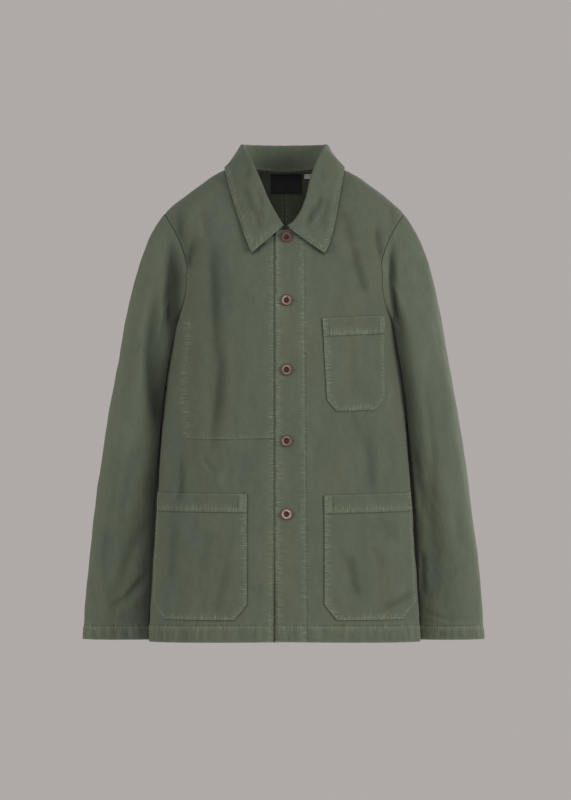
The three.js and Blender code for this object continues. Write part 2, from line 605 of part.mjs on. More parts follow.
// A patch made from the panel's own points, moved out, with a thicker band along its mouth.
function pocketGrid(pocket, panel) {
  const [tl, tr, br, bl] = [pocket.topLeft, pocket.topRight, pocket.bottomRight, pocket.bottomLeft];
  const height = tl[1] - bl[1];
  const cutShare = pocket.cut / height;
  const rows = pocketShares(pocket, height).map((share) => {
    const inset = pocket.cut * 0.8 * clamp((share - (1 - cutShare)) / cutShare, 0, 1);
    const left = { x: mix(tl[0], bl[0], share) + inset, z: mix(tl[1], bl[1], share) };
    const right = { x: mix(tr[0], br[0], share) - inset, z: mix(tr[1], br[1], share) };
    return { left, right, rise: share <= pocket.band / height + 1e-6 ? POCKET_BAND_RISE : 0 };
  });
  const ends = rows.map((row) => [onPanel(panel, row.left, 0).across, onPanel(panel, row.right, 0).across]);
  const [low, high] = ends[Math.floor(rows.length / 2)];
  const between = PANEL_COLUMNS.filter((u) => (u - low) * (u - high) < 0 && Math.abs(u - low) > 0.008
    && Math.abs(u - high) > 0.008);
  for (const u of [...between]) if (pocket.fine) between.push(u + 0.04);
  between.sort((p, q) => (low > high ? q - p : p - q));
  return rows.map((row, i) => {
    const [from, to] = ends[i];
    const way = Math.sign(to - from) * 0.004;
    const cell = (at) => ({ ...onPanel(panel, at, pocket.lift + CLOTH), rise: row.rise });
    return [cell(row.left), ...between.map((column, c) => {
      const limits = [from + way * (c + 1), to - way * (between.length - c)];
      const u = clamp(column, Math.min(...limits), Math.max(...limits));
      return cell({ u, z: mix(row.left.z, row.right.z, (u - from) / (to - from)) });
    }), cell(row.right)];
  });
}

// The pocket's wall: flat underneath, with the mouth band standing proud.
function pocketGeometry(pocket, panel) {
  return wallGeometry(pocketGrid(pocket, panel).map((row) => row.map((cell) => ({
    point: cell.point.clone().addScaledVector(cell.normal, cell.rise),
    normal: cell.normal.clone().multiplyScalar((CLOTH + cell.rise) / CLOTH),
  }))), CLOTH);
}

function buttonGeometry() {
  const profilePoints = [
    [0, 0], [BUTTON.radius - 1.6, 0], [BUTTON.radius, 1.3], [BUTTON.radius - 0.4, BUTTON.height],
    [BUTTON.radius - BUTTON.rim, BUTTON.height - 0.2], [BUTTON.radius - BUTTON.rim - 1.2, BUTTON.height - 1.2],
    [0, BUTTON.height - 1.2],
  ].map(([r, h]) => new THREE.Vector2(r, h));
  return new THREE.LatheGeometry(profilePoints, 20);
}

// A solid of turning cut by four thread holes.
function drilled(wasm, geometry) {
  const toManifold = (g) => {
    g.deleteAttribute('normal');
    g.deleteAttribute('uv');
    const merged = facingOut(mergeVertices(g, 1e-4));
    return new wasm.Manifold(new wasm.Mesh({
      numProp: 3,
      vertProperties: new Float32Array(merged.getAttribute('position').array),
      triVerts: new Uint32Array(merged.getIndex().array),
    }));
  };
  let solid = toManifold(geometry);
  for (const quarter of [0, 1, 2, 3]) {
    const hole = new THREE.CylinderGeometry(BUTTON.holeRadius, BUTTON.holeRadius, BUTTON.height * 3, 6);
    const angle = Math.PI / 4 + (quarter * Math.PI) / 2;
    hole.translate(Math.cos(angle) * BUTTON.holeOffset, 0, Math.sin(angle) * BUTTON.holeOffset);
    solid = solid.subtract(toManifold(hole));
  }
  const mesh = solid.getMesh();
  const cut = new THREE.BufferGeometry();
  cut.setAttribute('position', new THREE.Float32BufferAttribute(mesh.vertProperties, 3));
  cut.setIndex([...mesh.triVerts]);
  cut.computeVertexNormals();
  return cut;
}

// A small flat piece on the inside of the back, hanging from the neck seam.
function insidePatch({ left, right, top, bottom, thickness, gap }) {
  const grid = [];
  for (let i = 0; i <= PATCH_STEPS; i += 1) {
    const z = mix(top, bottom, i / PATCH_STEPS);
    const row = [];
    for (let j = 0; j <= PATCH_STEPS; j += 1) {
      const x = mix(left, right, j / PATCH_STEPS);
      row.push(onPanel(x < 0 ? backRight : backLeft, { x, z }, -(CLOTH + gap)));
    }
    grid.push(row);
  }
  return wallGeometry(grid, thickness);
}

function piece(name, geometry, colour, roughness = 0.92) {
  const mesh = new THREE.Mesh(geometry, new THREE.MeshStandardMaterial({ color: colour, roughness, metalness: 0 }));
  mesh.name = name;
  return mesh;
}

const Module = (await import('manifold-3d')).default;
const wasm = await Module();
wasm.setup();

const frontLeft = bodyPanel(-1, 1, OVERLAP.edgeX);
const frontRight = bodyPanel(-1, -1, OVERLAP.underEdgeX, underLift);
const backLeft = bodyPanel(1, 1, 0);
const backRight = bodyPanel(1, -1, 0);

const jacket = new THREE.Group();
jacket.name = 'chore_jacket';
jacket.add(piece('front_left', wallGeometry(frontLeft.grid, CLOTH), COLOURS.cloth));
jacket.add(piece('front_right', wallGeometry(frontRight.grid, CLOTH), COLOURS.cloth));
jacket.add(piece('back_left', wallGeometry(backLeft.grid, CLOTH), COLOURS.cloth));
jacket.add(piece('back_right', wallGeometry(backRight.grid, CLOTH), COLOURS.cloth));
jacket.add(piece('sleeve_left', wallGeometry(sleeveGrid(1), CLOTH, true), COLOURS.cloth));
jacket.add(piece('sleeve_right', wallGeometry(sleeveGrid(-1), CLOTH, true), COLOURS.cloth));
jacket.add(piece('collar', wallGeometry(collarGrid(), COLLAR_CLOTH), COLOURS.collar));
jacket.add(piece('pocket_chest', pocketGeometry(POCKETS.chest, frontLeft), COLOURS.pocket));
jacket.add(piece('pocket_left', pocketGeometry(POCKETS.left, frontLeft), COLOURS.pocket));
jacket.add(piece('pocket_right', pocketGeometry(POCKETS.right, frontRight), COLOURS.pocket));

const buttonShape = drilled(wasm, buttonGeometry());
BUTTON_HEIGHTS.forEach((z, i) => {
  const button = piece(`button_${i + 1}`, buttonShape.clone(), COLOURS.button, 0.45);
  const seat = onPanel(frontLeft, { x: BUTTON.x, z }, LAYER_GAP);
  button.position.copy(seat.point);
  button.quaternion.setFromUnitVectors(new THREE.Vector3(0, 1, 0), seat.normal);
  jacket.add(button);
});

jacket.add(piece('neck_label', insidePatch(NECK_LABEL), COLOURS.label));
jacket.add(piece('size_tab', insidePatch(SIZE_TAB), COLOURS.tab));

export default jacket;
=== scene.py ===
"""Chore jacket in the shape it keeps on a wearer, with nobody inside it.

The tables start from the form of the frame's own walls. The cloth seen in the render is built from
them here, denser, with its seams, folds, puckers, stitches, buttons and labels. Sizes in the tables are
millimetres in the frame's own axes: +Z up, the front faces -Y, the wearer's left is +X.
"""

import math
from collections import namedtuple

import bpy
import numpy as np
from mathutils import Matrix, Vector


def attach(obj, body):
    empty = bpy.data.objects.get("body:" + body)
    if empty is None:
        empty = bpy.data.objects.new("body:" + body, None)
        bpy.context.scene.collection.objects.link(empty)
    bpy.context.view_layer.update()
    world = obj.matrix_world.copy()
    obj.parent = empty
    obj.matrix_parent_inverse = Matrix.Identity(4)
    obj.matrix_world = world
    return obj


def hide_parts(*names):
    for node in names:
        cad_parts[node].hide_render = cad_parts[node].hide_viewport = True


bl_info = {
    "name": "Chore Jacket",
    "version": (1, 0, 0),
    "blender": (4, 5, 0),
    "location": "View3D > Sidebar > Jacket",
    "description": "Builds a chore jacket in worn, hollow form and a pale stage for it",
    "category": "Add Mesh",
}

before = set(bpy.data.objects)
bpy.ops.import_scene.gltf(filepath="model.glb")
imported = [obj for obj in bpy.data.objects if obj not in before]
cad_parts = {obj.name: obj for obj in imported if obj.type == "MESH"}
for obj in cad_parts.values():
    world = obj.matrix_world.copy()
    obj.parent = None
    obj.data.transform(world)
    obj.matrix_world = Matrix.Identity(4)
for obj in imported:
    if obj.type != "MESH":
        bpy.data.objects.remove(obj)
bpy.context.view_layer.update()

# The jacket's form

CLOTH = 1.2
COLLAR_CLOTH = 2.0
SEAM_GAP = 0.3
HEM_Z = -739
HEM_RISE = 4.5
CUFF_Z = -738
UNDERARM_Z = -255
SHOULDER_TIP_Z = -68
NECK = {"side_x": 66, "side_z": 11, "front_z": -96, "back_z": -1}
RING_POWER = 2.35
ARMHOLE = {"front_degrees": 33, "back_degrees": 34, "roundness": 0.75}
OVERLAP = {"edge_x": -13.5, "under_edge_x": 21, "blend_x": 24, "under_gap": 1.1}
BUTTON_X = 3.1
BUTTON_HEIGHTS = (-108.4, -206.7, -314.3, -424.3, -537.4)
# How far each button is turned on its thread, in radians, and how worn its rim is
BUTTON_SPINS = (0.2, 0.9, 0.5, 0.1, 0.7)
BUTTON_WEAR = (0.12, 0.62, 0.42, 0.4, 1.0)

# Torso sections: half width, and depth in front of and behind the side seam, at each height.
TorsoRow = namedtuple("TorsoRow", "z half front back seam_y")
TORSO = [
    TorsoRow(-739, 213, 132, 112, -18),
    TorsoRow(-611, 205, 131, 109, -14),
    TorsoRow(-470, 196, 130, 108, -8),
    TorsoRow(-377, 189, 129, 112, -4),
    TorsoRow(-300, 182, 127, 116, -1),
    TorsoRow(-255, 176, 124, 117, 0),
    TorsoRow(-200, 173.5, 117, 116, 0),
    TorsoRow(-150, 176, 105, 111, 0),
    TorsoRow(-110, 181, 91, 104, 0),
    TorsoRow(-84, 186.5, 79, 97, 0),
    TorsoRow(-70, 188, 71, 93.4, 0),
    TorsoRow(-68, 186.5, 70, 93, 0),
    TorsoRow(-57, 176, 64, 88, 0),
    TorsoRow(-43, 159.5, 55, 82, 0),
    TorsoRow(-24.3, 133.6, 43, 72, 0),
    TorsoRow(-5.6, 105.3, 31, 58, 0),
    TorsoRow(11, 66, 10, 14, 0),
]

# Large soft folds in the torso, as lines in the front view: positive depth is a trough.
LargeFold = namedtuple("LargeFold", "face x0 z0 x1 z1 width depth")
TORSO_FOLDS = [
    LargeFold(-1, -113, -105, -111, -262, 14, 3),
    LargeFold(-1, -111, -225, -111, -425, 12, 4.5),
    LargeFold(-1, -140, -100, -154, -168, 10, 3.5),
    LargeFold(-1, 86, -52, 107, -125, 11, 3),
    LargeFold(-1, 104, -112, 128, -205, 11, 3),
    LargeFold(-1, 139, -82, 158, -165, 9, 3.5),
    LargeFold(-1, 112, -372, 136, -512, 12, 3),
    LargeFold(-1, 92, -575, 118, -680, 11, 3),
    LargeFold(1, 128, -100, 112, -260, 13, 3.5),
    LargeFold(1, -126, -105, -114, -270, 13, 3.5),
    LargeFold(1, 95, -330, 118, -560, 16, 3),
    LargeFold(1, -90, -350, -108, -600, 16, 3),
]

# Sleeve sections below the armpit. spread is how much further out the right sleeve hangs.
SleeveRow = namedtuple("SleeveRow", "z outer spread width depth y")
SLEEVE = [
    SleeveRow(-738, 317, 1.5, 119, 78, 44),
    SleeveRow(-648, 309, 3, 115, 94, 38),
    SleeveRow(-560, 298.5, 3.5, 109, 110, 30),
    SleeveRow(-473, 287, 3.5, 102, 128, 22),
    SleeveRow(-386, 273.8, 3.5, 99, 144, 14),
    SleeveRow(-300, 258.5, 3, 98, 156, 8),
]
SLEEVE_POWER = 2.2
CAP_SHARE = 0.4
SLEEVE_CLEARANCE = 5

# How the sleeve leaves the armhole at four places round it, and how far that carries.
HeadRow = namedtuple("HeadRow", "x y z start end")
SLEEVE_HEAD = {
    "top": HeadRow(0.66, 0, -0.75, 200, 215),
    "front": HeadRow(0.72, 0.4, -0.55, 110, 120),
    "bottom": HeadRow(0.45, 0, -0.89, 45, 45),
    "back": HeadRow(0.85, 0.1, -0.5, 110, 120),
}

# Long folds in the sleeves: turn is degrees round the sleeve from its outer line to the front.
SleeveFold = namedtuple("SleeveFold", "arm turn0 v0 turn1 v1 width depth")
SLEEVE_FOLDS = [
    SleeveFold(-1, 100, 0.02, 128, 0.62, 24, 11),
    SleeveFold(1, 108, 0.02, 140, 0.62, 20, 6),
    SleeveFold(0, -105, 0.05, -125, 0.5, 24, 6),
    SleeveFold(-1, 105, 0.52, 50, 0.97, 16, 4.5),
    SleeveFold(-1, 120, 0.74, 70, 0.95, 13, 3.5),
    SleeveFold(1, 55, 0.38, 72, 0.72, 15, 4.5),
    SleeveFold(1, 98, 0.55, 112, 0.93, 16, 5),
]

# Collar stations from the front end (0) to the centre back (1): the fold's line and the outer edge.
CollarRow = namedtuple("CollarRow", "s fold_x fold_y fold_z edge_x edge_y edge_z")
COLLAR_BACK = [
    CollarRow(0.55, 59.5, -25, 32, 93, -12, 3),
    CollarRow(0.68, 64.5, 6, 41, 88, 34, 0),
    CollarRow(0.84, 40, 41, 41.5, 52, 68, -14),
    CollarRow(1, 0, 51, 41.5, 0, 78, -20),
]
COLLAR_LEFT = [
    CollarRow(0, 4, -92, -91, 60.5, -103, -134),
    CollarRow(0.1, 17, -88, -79, 66, -99, -126),
    CollarRow(0.25, 31, -79, -52, 75.5, -79, -96),
    CollarRow(0.4, 42, -59, -8, 85, -51, -46),
] + COLLAR_BACK
COLLAR_RIGHT = [
    CollarRow(0, 0, -92, -91, 49, -105, -134),
    CollarRow(0.1, 8, -88, -78, 55, -99, -122),
    CollarRow(0.25, 24, -78, -49, 69, -78, -84),
    CollarRow(0.4, 42, -58, -6, 82, -51, -42),
] + COLLAR_BACK
COLLAR_FRONT_SHARE = 0.6
COLLAR_TURN = 1.7
COLLAR_START = 0.02
FALL_CLEARANCE = 2.2
STAND_STEPS = 22
TURN_STEPS = 11
FALL_STEPS = 40

# Metres from one stitch to the next along a seam
STITCH = 0.0035

# How far each line of stitching lies from its edge or seam
HEM_STITCH = 23.5
CUFF_STITCH = 19.5
FRONT_EDGE_STITCH = 5.0
BACK_SEAM_STITCH = 6
COLLAR_STITCH = 6.5
STAND_STITCH = 3.0
POCKET_STITCH = 3.6
POCKET_BAND_STITCH = 4.5

# How far the turned cloth reaches up from the hem and from the cuff
HEM_DEPTH = 25
CUFF_DEPTH = 21

# How far a wall's foot stands out past its face where an edge lies on other cloth
# A flared foot is painted dark: a painted shadow line beside the edge.
FLARE = 0.9

# Rows of a body panel: fine ones over the foot of the hem, and the length of the armhole.
HEM_ROWS_HEIGHT = 30
ARMHOLE_LENGTH = 245

# Patch pockets in the front view: corners, how far the lower corners are cut, the mouth band.
Pocket = namedtuple("Pocket", "top_left top_right bottom_right bottom_left cut band under")
POCKETS = {
    "pocket_chest": Pocket((59, -235), (154, -230), (154, -376), (67, -378), 17, 29, False),
    "pocket_left": Pocket((62, -509), (194, -506), (203.5, -701), (62, -701), 24, 29, False),
    "pocket_right": Pocket(
        (-195, -506), (-58.5, -507), (-58.5, -701), (-204.5, -701), 24, 29, True
    ),
}

# Finer folds, as lines in the front view. A negative depth is a ridge.
Crease = namedtuple("Crease", "points width depth")
BODY_FRONT = [
    Crease(((-112, -105), (-108, -252), (-100, -306), (-106, -377), (-111, -455)), 9, 1.8),
    Crease(((-168, -49), (-160, -158)), 9, 2.0),
    Crease(((-141, -111), (-150, -158)), 7, 1.6),
    Crease(((-130, -57), (-124, -111)), 8, 1.4),
    Crease(((-161, -452), (-161, -505), (-169, -533), (-174, -611)), 8, 1.6),
    Crease(((-124, -455), (-113, -470)), 5, 1.4),
    Crease(((-93, -483), (-82, -470)), 5, 1.2),
    Crease(((-95, -150), (-88, -236)), 10, 0.9),
    Crease(((-60, -440), (-72, -500)), 9, 0.8),
    Crease(((-120, -560), (-135, -640)), 10, 0.9),
    Crease(((-88, -600), (-104, -684)), 8, 1.0),
    Crease(((87, -60), (97.5, -88), (105, -119), (111.5, -150), (121, -182), (133, -205)), 8, 2.0),
    Crease(((143, -80), (147, -119), (161, -166)), 7, 1.8),
    Crease(((165, -57), (171, -88)), 6, 1.2),
    Crease(((105, -380), (113, -408)), 6, 1.2),
    Crease(((119, -392), (119, -486)), 6, -1.0),
    Crease(((133, -408), (141, -505)), 8, 1.8),
    Crease(((149, -470), (165, -502)), 6, 1.2),
    Crease(((79, -587), (99, -611), (105, -642), (115, -673), (119, -696)), 7, 1.6),
    Crease(((130, -587), (157, -626)), 8, 1.4),
    Crease(((136, -540), (172, -572)), 8, 1.2),
    Crease(((141, -692), (168, -676), (199, -667)), 6, 1.4),
    Crease(((107, -267), (108, -314), (111.5, -361)), 6, 1.2),
    Crease(((56, -160), (66, -222)), 9, 0.8),
    Crease(((44, -420), (50, -500)), 9, 0.7),
]
BODY_BACK = [
    Crease(((-120, -90), (-108, -190), (-112, -300), (-104, -400)), 10, 2.0),
    Crease(((122, -85), (112, -180), (108, -290), (114, -380)), 10, 2.0),
    Crease(((-60, -60), (-52, -150)), 10, 1.2),
    Crease(((66, -58), (55, -140)), 10, 1.1),
    Crease(((-70, -420), (-92, -560), (-86, -690)), 11, 1.6),
    Crease(((78, -400), (96, -540), (104, -680)), 11, 1.6),
    Crease(((-150, -330), (-158, -470), (-150, -600)), 10, 1.4),
    Crease(((152, -320), (160, -450), (156, -590)), 10, 1.4),
    Crease(((-24, -430), (-34, -600)), 12, 0.9),
    Crease(((30, -460), (40, -640)), 12, 0.9),
]
ARM_FRONT = [
    Crease(((-178, -100), (-180, -158), (-183, -205), (-179, -252)), 8, 2.6),
    Crease(((-198, -165), (-210, -236), (-213, -299), (-208, -361), (-198, -400)), 11, 2.4),
    Crease(((-192, -215), (-195, -275)), 6, -1.2),
    Crease(((170, -115), (167, -158), (168, -200), (173, -248)), 5.5, 2.8),
    Crease(((-260, -439), (-272, -517), (-283, -611), (-277, -658)), 8, 2.0),
    Crease(((-214, -634), (-249, -673), (-280, -692)), 8, 2.0),
    Crease(((-240, -250), (-246, -360)), 10, 1.0),
    Crease(((219, -322), (230, -423), (236, -486)), 9, 2.0),
    Crease(((196, -423), (219, -548)), 8, 1.6),
    Crease(((211, -595), (212, -673)), 8, 2.0),
    Crease(((213, -695), (258, -707.5), (302, -704)), 4, 1.0),
    Crease(((236, -230), (244, -300)), 9, 1.0),
    Crease(((268, -520), (276, -600)), 9, 1.2),
]
ARM_BACK = [
    Crease(((-196, -150), (-222, -240), (-236, -340)), 10, 2.0),
    Crease(((-232, -380), (-262, -440), (-276, -470)), 8, 1.8),
    Crease(((-236, -450), (-262, -500), (-284, -520)), 8, 1.6),
    Crease(((-246, -560), (-262, -680)), 9, 1.4),
    Crease(((196, -150), (222, -236), (238, -330)), 10, 2.0),
    Crease(((230, -376), (258, -430), (272, -462)), 8, 1.8),
    Crease(((236, -440), (260, -492), (282, -508)), 8, 1.6),
    Crease(((244, -570), (258, -690)), 9, 1.4),
]

COLLAR_CREASES = [
    Crease(((60, -40), (52, -62), (32, -92)), 5, 2.8),
    Crease(((47, -58), (38, -76)), 4, 1.6),
    Crease(((-40, -36), (-31, -62)), 5, 1.8),
    Crease(((-38, -64), (-34, -78)), 3.5, 1.4),
    Crease(((68, -84), (62, -104)), 4, 1.0),
    Crease(((70, -40), (66, -66), (54, -100)), 7, 1.3),
    Crease(((-62, -30), (-50, -70)), 7, 1.7),
    Crease(((-74, -60), (-70, -100)), 6, 1.3),
    Crease(((-46, -62), (-38, -96)), 6, 1.4),
    Crease(((-52, 6), (-62, -18)), 6, 1.2),
    Crease(((52, 8), (63, -14)), 6, 1.2),
]

# Painted shade in the cloth's colour where it lies in shade, first on the sleeves and then on the
# fronts: a line in the front view, its width, and how dark it is.
ARM_SHADE = [
    Crease(((-172, -88), (-177, -150), (-179, -195), (-176, -235), (-176, -292)), 11, 0.9),
    Crease(((-165, -118), (-166, -170), (-168, -215), (-171, -275)), 9, 0.42),
    Crease(((-194, -165), (-206, -225), (-212, -280), (-210, -340), (-202, -420)), 11, 0.66),
    Crease(((172, -95), (168, -135), (167, -180), (170, -215), (174, -252)), 5.5, 1.0),
]

FRONT_SHADE = [
    Crease(((-112, -96), (-111, -180), (-107, -262)), 8, 0.3),
    Crease(((-102, -268), (-100, -306), (-104, -377)), 6, 0.35),
    Crease(((-167, -56), (-163, -110), (-158, -150)), 6, 0.3),
    Crease(((-144, -112), (-150, -150)), 6, 0.3),
    Crease(((105, -112), (112, -150), (124, -195)), 6, 0.12),
    Crease(((143, -80), (147, -119), (160, -166)), 6, 0.12),
    Crease(((-15, -610), (-14, -690), (-13, -770)), 3, 0.6),
    Crease(((-161, -436), (-161, -470), (-163, -516)), 5, 0.35),
    Crease(((-104, -352), (-108, -390), (-112, -440)), 6, 0.26),
    Crease(((122, -395), (131, -450), (138, -516)), 6, 0.28),
    Crease(((76, -585), (99, -615), (112, -665)), 7, 0.22),
    Crease(((150, -690), (172, -678), (196, -662)), 5, 0.25),
    Crease(((-163, -540), (-170, -580), (-174, -640)), 7, 0.2),
    Crease(((-88, -610), (-98, -650), (-106, -690)), 6, 0.16),
    Crease(((120, -548), (150, -562), (176, -580)), 6, 0.16),
]

# The inner pocket's stitching on the wearer's right front: its far side and its foot.
INNER_POCKET_SIDE = ((-150, -232), (-155, -300), (-157, -360), (-152, -420))
INNER_POCKET_HOOK = ((-150, -234), (-147, -237), (-148, -246), (-143, -252))
INNER_POCKET_FOOT = ((-152, -420), (-90, -421), (-15, -419))

NECK_LABEL = {"left": -22, "right": 28, "top": -1.8, "bottom": -32, "thickness": 0.8}
SIZE_TAB = {"left": 31.5, "right": 42.8, "top": -1.8, "bottom": -8.5, "thickness": 0.5}

# Metres that the picture shows from top to bottom at the chest
PICTURE_HEIGHT = 1.248


# Plain sums


def mix(a, b, t):
    return a + (b - a) * t


def ease(t):
    c = np.clip(t, 0.0, 1.0)
    return c * c * (3 - 2 * c)


def unit(v):
    return v / np.maximum(np.linalg.norm(v, axis=-1, keepdims=True), 1e-9)


def stack(x, y, z):
    return np.stack(np.broadcast_arrays(x, y, z), axis=-1)


def smooth_line(rows, name, key="z"):
    """A smooth line through one column of a table that never swings past its rows."""
    xs = np.array([getattr(row, key) for row in rows], float)
    ys = np.array([getattr(row, name) for row in rows], float)
    secant = np.diff(ys) / np.diff(xs)
    both = secant[:-1] * secant[1:]
    total = np.where(both > 0, secant[:-1] + secant[1:], 1.0)
    slope = np.concatenate([secant[:1], np.where(both > 0, 2 * both / total, 0.0), secant[-1:]])

    def at(x):
        x = np.clip(x, xs[0], xs[-1])
        i = np.clip(np.searchsorted(xs, x, side="left") - 1, 0, len(xs) - 2)
        step = xs[i + 1] - xs[i]
        t = (x - xs[i]) / step
        low = (1 + 2 * t) * (1 - t) ** 2 * ys[i] + t * (1 - t) ** 2 * step * slope[i]
        high = t * t * (3 - 2 * t) * ys[i + 1] + t * t * (t - 1) * step * slope[i + 1]
        return low + high

    return at


half = smooth_line(TORSO, "half")
front_depth = smooth_line(TORSO, "front")
back_depth = smooth_line(TORSO, "back")
seam_y = smooth_line(TORSO, "seam_y")
sleeve_outer = smooth_line(SLEEVE, "outer")
sleeve_spread = smooth_line(SLEEVE, "spread")
sleeve_width = smooth_line(SLEEVE, "width")
sleeve_depth = smooth_line(SLEEVE, "depth")
sleeve_y = smooth_line(SLEEVE, "y")


# The torso


def ring_radius(turn, power):
    total = np.abs(np.sin(turn)) ** power + np.abs(np.cos(turn)) ** power
    return total ** (-1 / power)


def turn_at(x, z):
    """The turn round a torso section for a given x: 0 at the centre, a quarter at the side."""
    share = np.clip(np.abs(x) / half(z), 0, 1)
    return np.sign(x) * np.arctan2(share, (1 - share**RING_POWER) ** (1 / RING_POWER))


def smooth_torso(face, turn, z):
    r = ring_radius(turn, RING_POWER)
    depth = np.where(np.asarray(face) < 0, front_depth(z), back_depth(z))
    return stack(half(z) * np.sin(turn) * r, seam_y(z) + face * depth * np.cos(turn) * r, z)


def torso_normal(face, turn, z):
    across = smooth_torso(face, turn + 0.004, z) - smooth_torso(face, turn - 0.004, z)
    up = smooth_torso(face, turn, z + 0.5) - smooth_torso(face, turn, z - 0.5)
    return unit(np.cross(across, up) * -np.asarray(face, float)[..., None])


def large_folds(face, x, z, turn):
    height = np.zeros(np.broadcast(x, z).shape)
    for f in TORSO_FOLDS:
        dx = f.x1 - f.x0
        dz = f.z1 - f.z0
        length = math.hypot(dx, dz)
        along = ((x - f.x0) * dx + (z - f.z0) * dz) / length**2
        away = ((x - f.x0) * dz - (z - f.z0) * dx) / length
        taper = ease(along / 0.25) * ease((1 - along) / 0.25)
        one = f.depth * taper * np.exp(-((away / f.width) ** 2))
        height -= np.where(np.asarray(face) == f.face, one, 0.0)
    return height * ease((math.pi / 2 - np.abs(turn)) / 0.22)


def torso(face, turn, z):
    """A point of the torso's outer face, its large folds with it, and the way out of the cloth."""
    normal = torso_normal(face, turn, z)
    point = smooth_torso(face, turn, z)
    height = large_folds(face, point[..., 0], z, turn)
    return point + normal * height[..., None], normal


def outside_torso(p):
    """How far a point is outside the torso's smooth shape, near enough for clearances."""

    def level(x, y, z):
        depth = np.where(y < seam_y(z), front_depth(z), back_depth(z))
        a = np.abs(x) / half(z)
        b = np.abs(y - seam_y(z)) / depth
        return (a**RING_POWER + b**RING_POWER) ** (1 / RING_POWER)

    x, y, z = p[..., 0], p[..., 1], p[..., 2]
    slope = stack(
        level(x + 0.5, y, z) - level(x - 0.5, y, z),
        level(x, y + 0.5, z) - level(x, y - 0.5, z),
        level(x, y, z + 0.5) - level(x, y, z - 0.5),
    )
    return (level(x, y, z) - 1) / np.linalg.norm(slope, axis=-1), unit(slope)


# The sleeves


def armhole_at(turn):
    """The armhole's place on the torso: turn 0 is the shoulder point, a quarter the front."""
    z = mix(UNDERARM_Z, SHOULDER_TIP_Z, (1 + np.cos(turn)) / 2)
    front = np.sin(turn) >= 0
    degrees = np.where(front, ARMHOLE["front_degrees"], ARMHOLE["back_degrees"])
    inward = np.radians(degrees) * np.abs(np.sin(turn)) ** ARMHOLE["roundness"]
    return np.where(front, -1.0, 1.0), math.pi / 2 - inward, z


def armhole_point(arm, turn):
    face, at, z = armhole_at(turn)
    return torso(face, arm * at, z)[0]


def sleeve_section(arm, turn, z):
    r = ring_radius(turn, SLEEVE_POWER)
    middle = sleeve_outer(z) - sleeve_width(z) / 2 + (sleeve_spread(z) if arm < 0 else 0)
    x = middle + sleeve_width(z) / 2 * np.cos(turn) * r
    return stack(arm * x, sleeve_y(z) - sleeve_depth(z) / 2 * np.sin(turn) * r, z)


def head_value(turn, name):
    c, s = np.cos(turn), np.sin(turn)
    ends = np.where(c > 0, getattr(SLEEVE_HEAD["top"], name), getattr(SLEEVE_HEAD["bottom"], name))
    sides = np.where(s > 0, getattr(SLEEVE_HEAD["front"], name), getattr(SLEEVE_HEAD["back"], name))
    return ends * c * c + sides * s * s


def sleeve_leaving(arm, turn):
    return unit(stack(arm * head_value(turn, "x"), head_value(turn, "y"), head_value(turn, "z")))


def smooth_sleeve(arm, turn, v):
    cap_z = SLEEVE[-1].z
    low_z = mix(cap_z, CUFF_Z, (v - CAP_SHARE) / (1 - CAP_SHARE))
    low = sleeve_section(arm, turn, np.minimum(low_z, cap_z))
    start = armhole_point(arm, turn)
    end = sleeve_section(arm, turn, np.full_like(turn, cap_z))
    below = unit(sleeve_section(arm, turn, np.full_like(turn, cap_z - 10)) - end)
    leave = sleeve_leaving(arm, turn) * head_value(turn, "start")[..., None]
    arrive = below * head_value(turn, "end")[..., None]
    t = np.clip(v / CAP_SHARE, 0, 1)[..., None]
    cap = (1 + 2 * t) * (1 - t) ** 2 * start + t * (1 - t) ** 2 * leave
    cap += t * t * (3 - 2 * t) * end + t * t * (t - 1) * arrive
    return np.where((v >= CAP_SHARE)[..., None], low, cap)


def sleeve_folds(arm, turn, v):
    height = np.zeros_like(turn)
    for f in SLEEVE_FOLDS:
        if f.arm not in (0, arm):
            continue
        along = (v - f.v0) / (f.v1 - f.v0)
        centre = np.radians(mix(f.turn0, f.turn1, np.clip(along, 0, 1)))
        away = np.arctan2(np.sin(turn - centre), np.cos(turn - centre)) / math.radians(f.width)
        height -= f.depth * ease(along / 0.3) * ease((1 - along) / 0.3) * np.exp(-(away**2))
    return height


def sleeve(arm, turn, v):
    around = smooth_sleeve(arm, turn + 0.01, v) - smooth_sleeve(arm, turn - 0.01, v)
    low = smooth_sleeve(arm, turn, np.minimum(v + 0.01, 1))
    down = low - smooth_sleeve(arm, turn, np.maximum(v - 0.01, 0))
    normal = unit(np.cross(around, down) * arm)
    point = smooth_sleeve(arm, turn, v) + normal * sleeve_folds(arm, turn, v)[..., None]
    distance, _ = outside_torso(point)
    need = SLEEVE_CLEARANCE * ease(v / 0.3)
    push = np.where(v > 0.02, np.clip(need - distance, 0, None), 0)
    point[..., 0] += arm * push
    return point, normal


def armhole_seam(arm, turn):
    """The seam's line, with one direction out of the cloth for both pieces and one across it."""
    face, at, z = armhole_at(turn)
    point, body = torso(face, arm * at, z)
    tangent = unit(armhole_point(arm, turn + 0.02) - armhole_point(arm, turn - 0.02))
    out = unit(np.cross(tangent, sleeve_leaving(arm, turn)) * arm)
    normal = unit(body + out)
    across = unit(np.cross(tangent, normal) * -arm)
    return point, normal, across


# Surface detail: soft folds, ripples, puckers and bands


